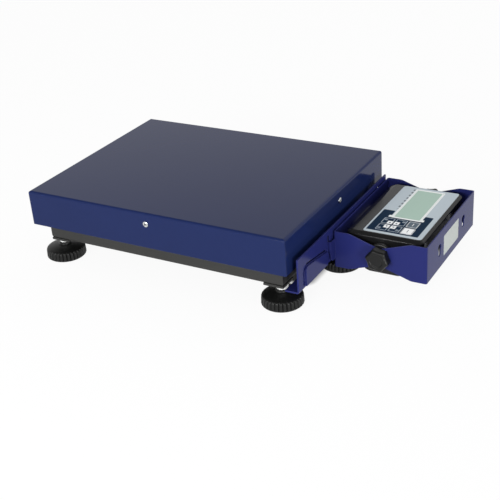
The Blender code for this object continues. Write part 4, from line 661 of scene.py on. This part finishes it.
def nutRows(flats, chamfer, bore, low, high, columns):
    # A hexagon cut by a cone above and below: the smaller of the two radii counts
    half = flats / 2
    levels = np.array([0, 0.3, 0.6, 1, 1.6]) * chamfer
    z = np.concatenate((low + levels, high - levels[::-1]))
    limit = half + np.minimum(z - low, high - z) * 1.75

    def hexagon(turn, radius, z):
        reach = half / np.cos((turn + math.pi / 6) % (math.pi / 3) - math.pi / 6)
        return np.minimum(np.minimum(reach, half / math.cos(math.pi / 6) - 0.0001), radius)

    sides = turnedRows(np.stack((limit, z), -1), columns, hexagon)
    hole = turnedRows([(bore + 0.0006, high), (bore, high - 0.0006), (bore, low + 0.0006),
                       (bore + 0.0006, low)], columns)
    return np.concatenate((sides, hole, sides[:1]))


def makeFeet():
    for place in foot["places"]:
        body = "foot_" + place
        low, high, middle = placeOf("foot_pad_" + place)
        ground = np.array([middle[0], middle[1], low[2]])
        pad = turnedRows(padProfile(), foot["flutes"] * foot["columnsPerFlute"], fluted)
        addPiece("footPad_" + place, [(pad + ground, True)], materials["blackPlastic"], body,
                 ["foot_pad_" + place], 40)
        low, high, middle = placeOf("foot_stud_" + place)
        stud = threaded((high[0] - low[0]) / 2, low[2], high[2])
        addPiece("footStud_" + place, [(stud + ground * (1, 1, 0), True)], materials["paintedLightZinc"],
                 body, ["foot_stud_" + place], 60)
        low, high, middle = placeOf("foot_nut_" + place)
        nut = nutRows(foot["nutFlats"], foot["nutChamfer"], foot["bore"], low[2] - foot["nutDrop"],
                      high[2], foot["nutColumns"])
        addPiece("footNut_" + place, [(nut + ground * (1, 1, 0), True)], materials["paintedLightZinc"],
                 "base", ["foot_nut_" + place], 30)


makeFeet()
print("feet made")


# Sheet metal and tube: the frame's own shapes with their edges eased

def easeNode(name, node, material, width=0.0004, angle=math.radians(50)):
    # A copy of the node, its doubles merged and flat parts made whole, with a small bevel
    mesh = nodes[node].data.copy()
    mesh.name = name
    work = bmesh.new()
    work.from_mesh(mesh)
    bmesh.ops.remove_doubles(work, verts=work.verts, dist=1e-6)
    bmesh.ops.dissolve_limit(work, angle_limit=math.radians(0.6), verts=work.verts,
                             edges=work.edges)
    bmesh.ops.recalc_face_normals(work, faces=work.faces)
    work.to_mesh(mesh)
    work.free()
    mesh.materials.clear()
    mesh.materials.append(material)
    mesh.shade_smooth()
    mesh.set_sharp_from_angle(angle=angle)
    piece = bpy.data.objects.new(name, mesh)
    bpy.context.scene.collection.objects.link(piece)
    bevel = piece.modifiers.new("edges", "BEVEL")
    bevel.width = width
    bevel.segments = 2
    bevel.limit_method = "ANGLE"
    bevel.angle_limit = angle
    flattenNormals(piece)
    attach(piece, nodes[node]["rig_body"])
    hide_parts(node)
    return piece


keyholes = {"spread": 0.061, "reach": 0.014, "wall": 0.004, "wider": 1.45, "taller": 1.12}


def widenKeyholes(mesh):
    # The points round each keyhole move away from its middle
    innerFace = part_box("cradle")[1].x - keyholes["wall"]
    pivotY, pivotZ = middleOf("case_top")[1], middleOf("pivot_disc_front")[2]
    for vertex in mesh.vertices:
        spot = vertex.co
        for side in (-1, 1):
            y = spot.y - (pivotY + side * keyholes["spread"])
            z = spot.z - pivotZ
            if spot.x > innerFace and max(abs(y), abs(z)) < keyholes["reach"]:
                spot.y += y * (keyholes["wider"] - 1)
                spot.z += z * (keyholes["taller"] - 1)


rating = {"nearFront": 0.0274, "nearRear": 0.1024, "low": 0.040, "high": 0.078, "corner": 0.0015,
          "colour": (0.44, 0.47, 0.45), "skin": 0.0004, "line": (0.2, 0.2, 0.2),
          "lineInset": 0.0016, "lineWidth": 0.0003, "lineInk": 0.35,
          "dullTo": 0.1935, "dull": 0.012}


def cradlePattern(w, place, look):
    # A bare pale plate on the outer wall only: a patch in Y and Z, kept to the wall's face
    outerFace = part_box("cradle")[1].x
    parts = w.parts(place)
    flat = w.node("ShaderNodeCombineXYZ", {0: parts[1], 1: parts[2]}).outputs[0]
    near, far, low, high = (rating[edge] for edge in ("nearFront", "nearRear", "low", "high"))
    middle, half = ((near + far) / 2, (low + high) / 2, 0), ((far - near) / 2, (high - low) / 2)
    mask, depth = patch(w, flat, middle, half, rating["corner"])
    onFace = w.math("GREATER_THAN", parts[0], outerFace - rating["skin"])
    border = lineAt(w, depth, rating["lineInset"], rating["lineWidth"])
    plate = inkOver(w, (*rating["colour"], 1), w.math("MULTIPLY", border, rating["lineInk"]),
                    rating["line"])
    return w.mixColour(w.math("MULTIPLY", mask, onFace), (*look["colour"], 1), plate)


def cradleGloss(w, place):
    # The wall beside the case is dull, as it lies in the case's shade
    x = w.parts(place)[0]
    level = finishes["bracketPaint"]["specular"]
    return w.mixNumber(w.math("LESS_THAN", x, rating["dullTo"]), level, rating["dull"])


cradleLook = dict(finishes["bracketPaint"], gloss=cradleGloss)
materials["cradlePaint"] = surfaceMaterial("cradlePaint", cradleLook, cradlePattern)
easeNode("baseTube", "base_frame", materials["framePaint"])
easeNode("bracketSheet", "side_bracket", materials["bracketPaint"])
widenKeyholes(easeNode("cradleSheet", "cradle", materials["cradlePaint"]).data)
print("sheet metal made")


# Terminal: top shell with a printed panel, window and keys, a tub below, discs and knobs

case = {"corner": 0.012, "wall": 0.0025, "edgeHeight": 0.0042, "edgeStep": 0.0008,
        "slopeHeight": 0.003, "slopeLeft": 0.009, "slopeRight": 0.006, "slopeFront": 0.009,
        "slopeRear": 0.0044, "rimCorner": 0.0055, "panelCorner": 0.005, "panelGap": 0.0003,
        "pocket": 0.0015, "ledge": 0.0045, "ledgeThickness": 0.0022, "startHeight": 0.007}


def makeCaseTop():
    # Rounded rectangles from the wall over the rim into the panel's pocket and back inside
    low, high, middle = placeOf("case_top")
    panelLow, panelHigh, panelMiddle = placeOf("front_panel")
    half = (high - low) / 2
    top, wall = high[2], case["wall"]

    def wallRow(inset, z):
        return (half[0] - inset, half[1] - inset, case["corner"] - inset, middle[0], middle[1], z)

    def panelRow(grow, corner, z):
        panelHalf = (panelHigh - panelLow) / 2 + grow
        return (panelHalf[0], panelHalf[1], corner, panelMiddle[0], panelMiddle[1], z)

    rim = (half[0] - (case["slopeLeft"] + case["slopeRight"]) / 2,
           half[1] - (case["slopeFront"] + case["slopeRear"]) / 2, case["rimCorner"],
           middle[0] + (case["slopeLeft"] - case["slopeRight"]) / 2,
           middle[1] + (case["slopeFront"] - case["slopeRear"]) / 2, top)
    gap, corner, inside, step = (case[size] for size in (
        "panelGap", "panelCorner", "ledge", "edgeStep"))
    pocket, start = top - case["pocket"], low[2] + case["startHeight"]
    ledge = pocket - case["ledgeThickness"]
    # Each row stands beside the size of the curve there
    sizes, rows = zip(
        (0, wallRow(0, start)), (0.0022, wallRow(0, top - case["edgeHeight"])),
        (0.0016, wallRow(step, top - case["slopeHeight"])), (0.0008, rim),
        (0.00025, panelRow(gap, corner + gap, top)), (0.0002, panelRow(gap, corner + gap, pocket)),
        (0, panelRow(-inside, corner / 2, pocket)), (0, panelRow(-inside, corner / 2, ledge)),
        (0.0005, wallRow(wall + step, ledge)), (0.0002, wallRow(wall, low[2])),
        (0.0003, wallRow(0, low[2])), (0, wallRow(0, start)))
    addPiece("caseTop", [(loopRows(easeCorners(rows, sizes, 4), 10), True)],
             materials["casePlastic"], "terminal", ["case_top"], 40)


# What is printed on the panel and the keys, in metres from the middle of the case

panelPrint = {
    "paper": (0.53, 0.60, 0.65), "frame": (0.90, 0.93, 0.92), "navy": (0.0035, 0.021, 0.052),
    "tick": (0.07, 0.08, 0.10), "frameWidth": 0.0028,
    "field": ((0.0077, -0.0590), (0.0470, 0.0290), 0.0035),
    "leftArm": ((-0.02855, -0.0465), (0.01075, 0.0415), 0.0020),
    "rightArm": ((0.0467, -0.0485), (0.0080, 0.0395), 0.0020),
    "shoulder": ((0.0107, -0.02675), (0.0325, 0.00375), 0.0012),
    "tickPlace": (-0.0183, 0.0485), "tickHalf": (0.0017, 0.0435), "tickPitch": 0.0124,
    "tickShare": 0.5, "tickInk": 0.8, "frameCorner": 0.002,
    "screen": (0.44, 0.59, 0.51), "screenInset": 0.0018, "screenCorner": 0.0006,
    # The window's painted shade along its border: its colour, reach and amount
    "shade": (0.345, 0.475, 0.405), "shadeReach": 0.0022, "screenShadeAmount": 0.3,
}
keyPrint = {
    "first": (-0.0150, -0.0720), "pitch": (0.0230, 0.0255), "half": (0.0103, 0.01125),
    "corner": 0.0015, "lineInset": 0.0011, "lineWidth": 0.0009, "cross": (-0.0035, -0.05925),
    "square": ((0.0061, 0.0076), (0.0048, 0.0058), 0.0008), "arrow": (0.0061, 0.0076),
    "arrowSize": 0.0022, "arrowSlope": 1.7, "bars": ((0.0165, 0.0150), (0.0165, 0.0180)),
    "barHalf": (0.0028, 0.0006), "dashHalf": (0.0006, 0.0050), "dashCorner": 0.0005,
    "navy": panelPrint["navy"], "white": (0.95, 0.96, 0.97), "line": (0.60, 0.68, 0.76),
    "grey": (0.12, 0.155, 0.19), "mark": (0.18, 0.20, 0.23),
}


def fromCase(w, place):
    middle = middleOf("case_top")
    return w.vector("SUBTRACT", place, (middle[0], middle[1], 0))


def field(w, place, spot):
    (x, y), half, corner = spot
    return patch(w, place, (x, y, 0), half, corner)[0]


def panelPattern(w, place, look):
    # Navy field with two arms, a pale frame round the window, and a column of plain ticks
    here = fromCase(w, place)
    navy = field(w, here, panelPrint["field"])
    for arm in ("leftArm", "rightArm"):
        navy = w.math("MAXIMUM", navy, field(w, here, panelPrint[arm]))
    colour = inkOver(w, (*panelPrint["paper"], 1), navy, panelPrint["navy"])
    low, high, middle = placeOf("display_window")
    grown = (high - low)[:2] / 2 + panelPrint["frameWidth"]
    frameMask = patch(w, place, (*middle[:2], 0), tuple(grown), panelPrint["frameCorner"])[0]
    frameMask = w.math("MAXIMUM", frameMask, field(w, here, panelPrint["shoulder"]))
    colour = inkOver(w, colour, frameMask, panelPrint["frame"])
    column = patch(w, here, (*panelPrint["tickPlace"], 0), panelPrint["tickHalf"], 0.0002)[0]
    along = w.parts(here)[1]
    step = w.math("FRACT", w.math("DIVIDE", along, panelPrint["tickPitch"]))
    ticks = w.math("MULTIPLY", column, w.math("LESS_THAN", step, panelPrint["tickShare"]))
    return inkOver(w, colour, w.math("MULTIPLY", ticks, panelPrint["tickInk"]), panelPrint["tick"])


def screenPattern(w, place, look):
    # Pale green glass inside a pale border, with painted shade close to the border
    low, high, middle = placeOf("display_window")
    half = (high - low)[:2] / 2 - panelPrint["screenInset"]
    mask, depth = patch(w, place, (*middle[:2], 0), tuple(half), panelPrint["screenCorner"])
    inwards = w.math("DIVIDE", depth, panelPrint["shadeReach"], clamp=True)
    shade = w.math("MULTIPLY", w.math("SUBTRACT", 1.0, inwards), panelPrint["screenShadeAmount"])
    glass = inkOver(w, (*panelPrint["screen"], 1), shade, panelPrint["shade"])
    return w.mixColour(mask, (*panelPrint["frame"], 1), glass)


def foldedKeys(w, here):
    # The keys lie on a lattice, so one key's print is folded over them all
    shift = w.vector("SUBTRACT", here, (*keyPrint["first"], 0))
    reach = (keyPrint["pitch"][0] / 2, keyPrint["pitch"][1] / 2, 1.0)
    return w.vector("WRAP", shift, reach, tuple(-side for side in reach))


def keyOutline(w, here):
    depth = patch(w, foldedKeys(w, here), (0, 0, 0), keyPrint["half"], keyPrint["corner"])[1]
    return lineAt(w, depth, keyPrint["lineInset"], keyPrint["lineWidth"])


def keyPattern(w, place, look):
    # Four pale squares with arrows round the middle of the first four keys, and two bars on each
    here = fromCase(w, place)
    colour = inkOver(w, (*look["colour"], 1), keyOutline(w, here), keyPrint["line"])
    quarter = w.vector("ABSOLUTE", w.vector("SUBTRACT", here, (*keyPrint["cross"], 0)))
    for bar in keyPrint["bars"]:
        mask = patch(w, quarter, (*bar, 0), keyPrint["barHalf"], 0.0002)[0]
        colour = inkOver(w, colour, mask, keyPrint["line"])
    colour = inkOver(w, colour, field(w, quarter, keyPrint["square"]), keyPrint["white"])
    parts = w.parts(w.vector("SUBTRACT", quarter, (*keyPrint["arrow"], 0)))
    size = keyPrint["arrowSize"]
    sides = w.math("SUBTRACT", w.math("SUBTRACT", size, parts[1]),
                   w.math("MULTIPLY", w.math("ABSOLUTE", parts[0]), keyPrint["arrowSlope"]))
    arrow = w.math("MINIMUM", sides, w.math("ADD", parts[1], size))
    return inkOver(w, colour, w.math("DIVIDE", arrow, 0.0002, clamp=True), keyPrint["navy"])


def plainKeyPattern(w, place, look):
    # A key in one colour with an outline and a short dash in its middle
    here = fromCase(w, place)
    colour = inkOver(w, (*look["colour"], 1), keyOutline(w, here), look["line"])
    dash = patch(w, foldedKeys(w, here), (0, 0, 0), keyPrint["dashHalf"], keyPrint["dashCorner"])[0]
    return inkOver(w, colour, dash, look["line"])


def makePanel():
    film = {"roughness": 0.36, "mottle": 0.02, "grainSize": 0.0004, "grainDepth": 0.000006,
            "spread": 0.06, "edgeRadius": 0.0004, "edgeAmount": 0.3,
            "edgeColour": (0.75, 0.77, 0.78), "specular": 0.02}
    looks = {
        "panelFilm": (dict(film, colour=panelPrint["paper"]), panelPattern),
        "windowFilm": (dict(film, colour=panelPrint["screen"], roughness=0.20), screenPattern),
        "keyFilm": (dict(film, colour=keyPrint["navy"], edgeColour=keyPrint["line"]), keyPattern),
        "keyWhite": (dict(film, colour=keyPrint["white"], line=keyPrint["mark"]), plainKeyPattern),
        "keyGrey": (dict(film, colour=keyPrint["grey"], line=keyPrint["white"]), plainKeyPattern),
    }
    for name, (look, pattern) in looks.items():
        materials[name] = surfaceMaterial(name, look, pattern)
    easeNode("panelFilm", "front_panel", materials["panelFilm"], 0.00015)
    easeNode("windowPane", "display_window", materials["windowFilm"], 0.0001)
    finishOf = {5: "keyWhite", 6: "keyGrey"}
    for number in range(1, 7):
        easeNode("keyCap_%d" % number, "key_%d" % number,
                 materials[finishOf.get(number, "keyFilm")], 0.0002)


knob = {"radius": 0.0210, "waist": 0.0184, "thickness": 0.0157, "edge": 0.0014, "faceEdge": 0.0026,
        "dish": 0.0115, "dishDepth": 0.0012, "dishSlope": 0.0007, "roundTo": 0.0125,
        "phase": math.radians(50), "lobes": 6, "power": 1.5, "stud": 0.004, "studLength": 0.0199,
        "columns": 192}
pivotDisc = {"bore": 0.0044, "grow": 0.0025, "rim": 0.0030, "backRim": 0.0004, "boreRim": 0.0003,
             "columns": 96}


def lobed(turn, radius, z):
    # Round up to just past the dish and lobed at the rim: the lobe is a raised cosine to a power
    wave = ((1 + np.cos(knob["lobes"] * (turn - knob["phase"]))) / 2) ** knob["power"]
    outline = (knob["waist"] + (knob["radius"] - knob["waist"]) * wave) / knob["radius"]
    span = knob["radius"] - knob["faceEdge"] - knob["roundTo"]
    share = np.clip((radius - knob["roundTo"]) / span, 0, 1)
    return radius * (1 - share + share * outline)


def knobRows():
    # (radius, height, curve) from the stud, out over the back, the rim and the dished face
    radius, thick, edge, face, dish = (knob[size] for size in (
        "radius", "thickness", "edge", "faceEdge", "dish"))
    slope, floor = knob["dishSlope"], thick - knob["dishDepth"]
    profile = roundedProfile([
        (knob["stud"], 0.0, 0), (radius - edge, 0.0, 0.0006), (radius, edge, 0.0008),
        (radius, thick - face, 0.0012), (radius - face, thick, 0.0012),
        (dish + slope, thick, 0.0005), (dish - slope, floor, 0.0005), (0.0, floor, 0)], 5)
    return turnedRows(profile, knob["columns"], lobed)


def makeAxisHardware():
    for name, outward in (("front", -1), ("rear", 1)):
        low, high, disc = placeOf("pivot_disc_" + name)
        knobLow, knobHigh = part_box("knob_" + name)
        back = (knobLow.y if outward < 0 else knobHigh.y) - outward * knob["thickness"]
        # The axis of a profile about Z is turned to point outwards along Y
        lay = np.array([(1, 0, 0), (0, 0, -outward), (0, outward, 0)], float)
        axis = np.array([disc[0], back, disc[2]])
        grip = knobRows() @ lay + axis
        stud = threaded(knob["stud"], -knob["studLength"], 0.0002) @ lay + axis
        addPiece("knobGrip_" + name, [(grip, True), (stud, True)], materials["blackPlastic"],
                 "knob_" + name, ["knob_" + name], 38)
        start, end = (high[1], low[1]) if outward > 0 else (low[1], high[1])
        length, radius = abs(end - start), (high[0] - low[0]) / 2 + pivotDisc["grow"]
        bore, boreRim = pivotDisc["bore"], pivotDisc["boreRim"]
        profile = roundedProfile([
            (bore, -length / 2, 0), (bore, 0.0, boreRim), (radius, 0.0, pivotDisc["rim"]),
            (radius, -length, pivotDisc["backRim"]), (bore, -length, boreRim),
            (bore, -length / 2, 0)], 8)
        ring = turnedRows(profile, pivotDisc["columns"]) @ lay + np.array([disc[0], start, disc[2]])
        addPiece("pivotDisc_" + name, [(ring, True)], materials["casePlastic"],
                 nodes["pivot_disc_" + name]["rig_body"], ["pivot_disc_" + name], 40)


gland = {"flats": 0.016, "chamfer": 0.0008, "hexHeight": 0.005, "dome": 0.007, "domeHeight": 0.007,
         "cap": 0.003, "bore": 0.003, "ribs": 18, "ribDepth": 0.0004, "ribFrom": 0.0062,
         "shank": 0.006, "shankLength": 0.006, "shankColumns": 32, "columns": 72}


def makeGland(name, node, body, outward):
    # A hexagon, a domed nut with fine ribs above it and a shank behind, about the outward direction
    tip, turn = outwardFrame(node, outward)
    base, top = gland["hexHeight"] - 0.0002, gland["hexHeight"] + gland["domeHeight"]
    seat = tip - turn[2] * top
    bore, dome, shank, length = (gland[size] for size in ("bore", "dome", "shank", "shankLength"))
    shoulder = top - gland["cap"]
    hexagon = nutRows(gland["flats"], gland["chamfer"], bore, 0.0, gland["hexHeight"],
                      gland["columns"])

    def ribbed(turn, radius, z):
        onSide = (np.clip((radius - gland["ribFrom"]) / 0.0004, 0, 1)
                  * np.clip((shoulder - z) / 0.001, 0, 1))
        return radius - gland["ribDepth"] * onSide * (np.cos(gland["ribs"] * turn) > 0)

    cap = roundedProfile([
        (bore, base + 0.002, 0), (bore, top, 0.0004), (dome - gland["cap"], top, 0.0015),
        (dome, shoulder, 0.0015), (dome, base, 0.0003), (bore, base, 0),
        (bore, base + 0.002, 0)], 4)
    rod = [(bore, -length), (shank - 0.0005, -length), (shank, 0.0005 - length), (shank, 0.0002),
           (bore, 0.0002), (bore, -length)]
    grids = [(rows @ turn + seat, True) for rows in (
        hexagon, turnedRows(cap, gland["columns"], ribbed), turnedRows(rod, gland["shankColumns"]))]
    addPiece(name, grids, materials["blackPlastic"], body, [node], 35)


makeCaseTop()
easeNode("caseTub", "case_bottom", materials["casePlastic"])
easeNode("batteryDoor", "battery_cover", materials["casePlastic"], 0.0003)
makePanel()
makeAxisHardware()
makeGland("terminalGland", "terminal_gland", "terminal", (0, 0, -1))
makeGland("frameGland", "frame_gland", "base", (1, 0, 0))
for end in ("front", "rear"):
    makePanScrew("bracketScrewHead_" + end, "bracket_screw_" + end, "base", (0, 0, -1), "bracket")
    for side in ("left", "right"):
        place = end + "_" + side
        makePanScrew("caseScrewHead_" + place, "case_screw_" + place, "terminal", (0, 0, -1),
                     "case")
print("terminal made")


# Nodes that keep their own mesh

kept = {
    "framePaint": ("load_cell_beam", "weighing_frame"),
    "zinc": ("load_cell_lower_spacer", "load_cell_upper_spacer",
             "load_cell_lower_bolt_inner", "load_cell_lower_bolt_outer",
             "load_cell_upper_bolt_inner", "load_cell_upper_bolt_outer"),
    "aluminium": ("load_cell",),
    "rubber": ("case_gasket", "keypad_mat"),
    "boardMask": ("circuit_board", "display_module"),
    "batteryWrap": ("battery",),
}
for finish, names in kept.items():
    for name in names:
        nodes[name].data.materials.clear()
        nodes[name].data.materials.append(materials[finish])
print("kept nodes finished")
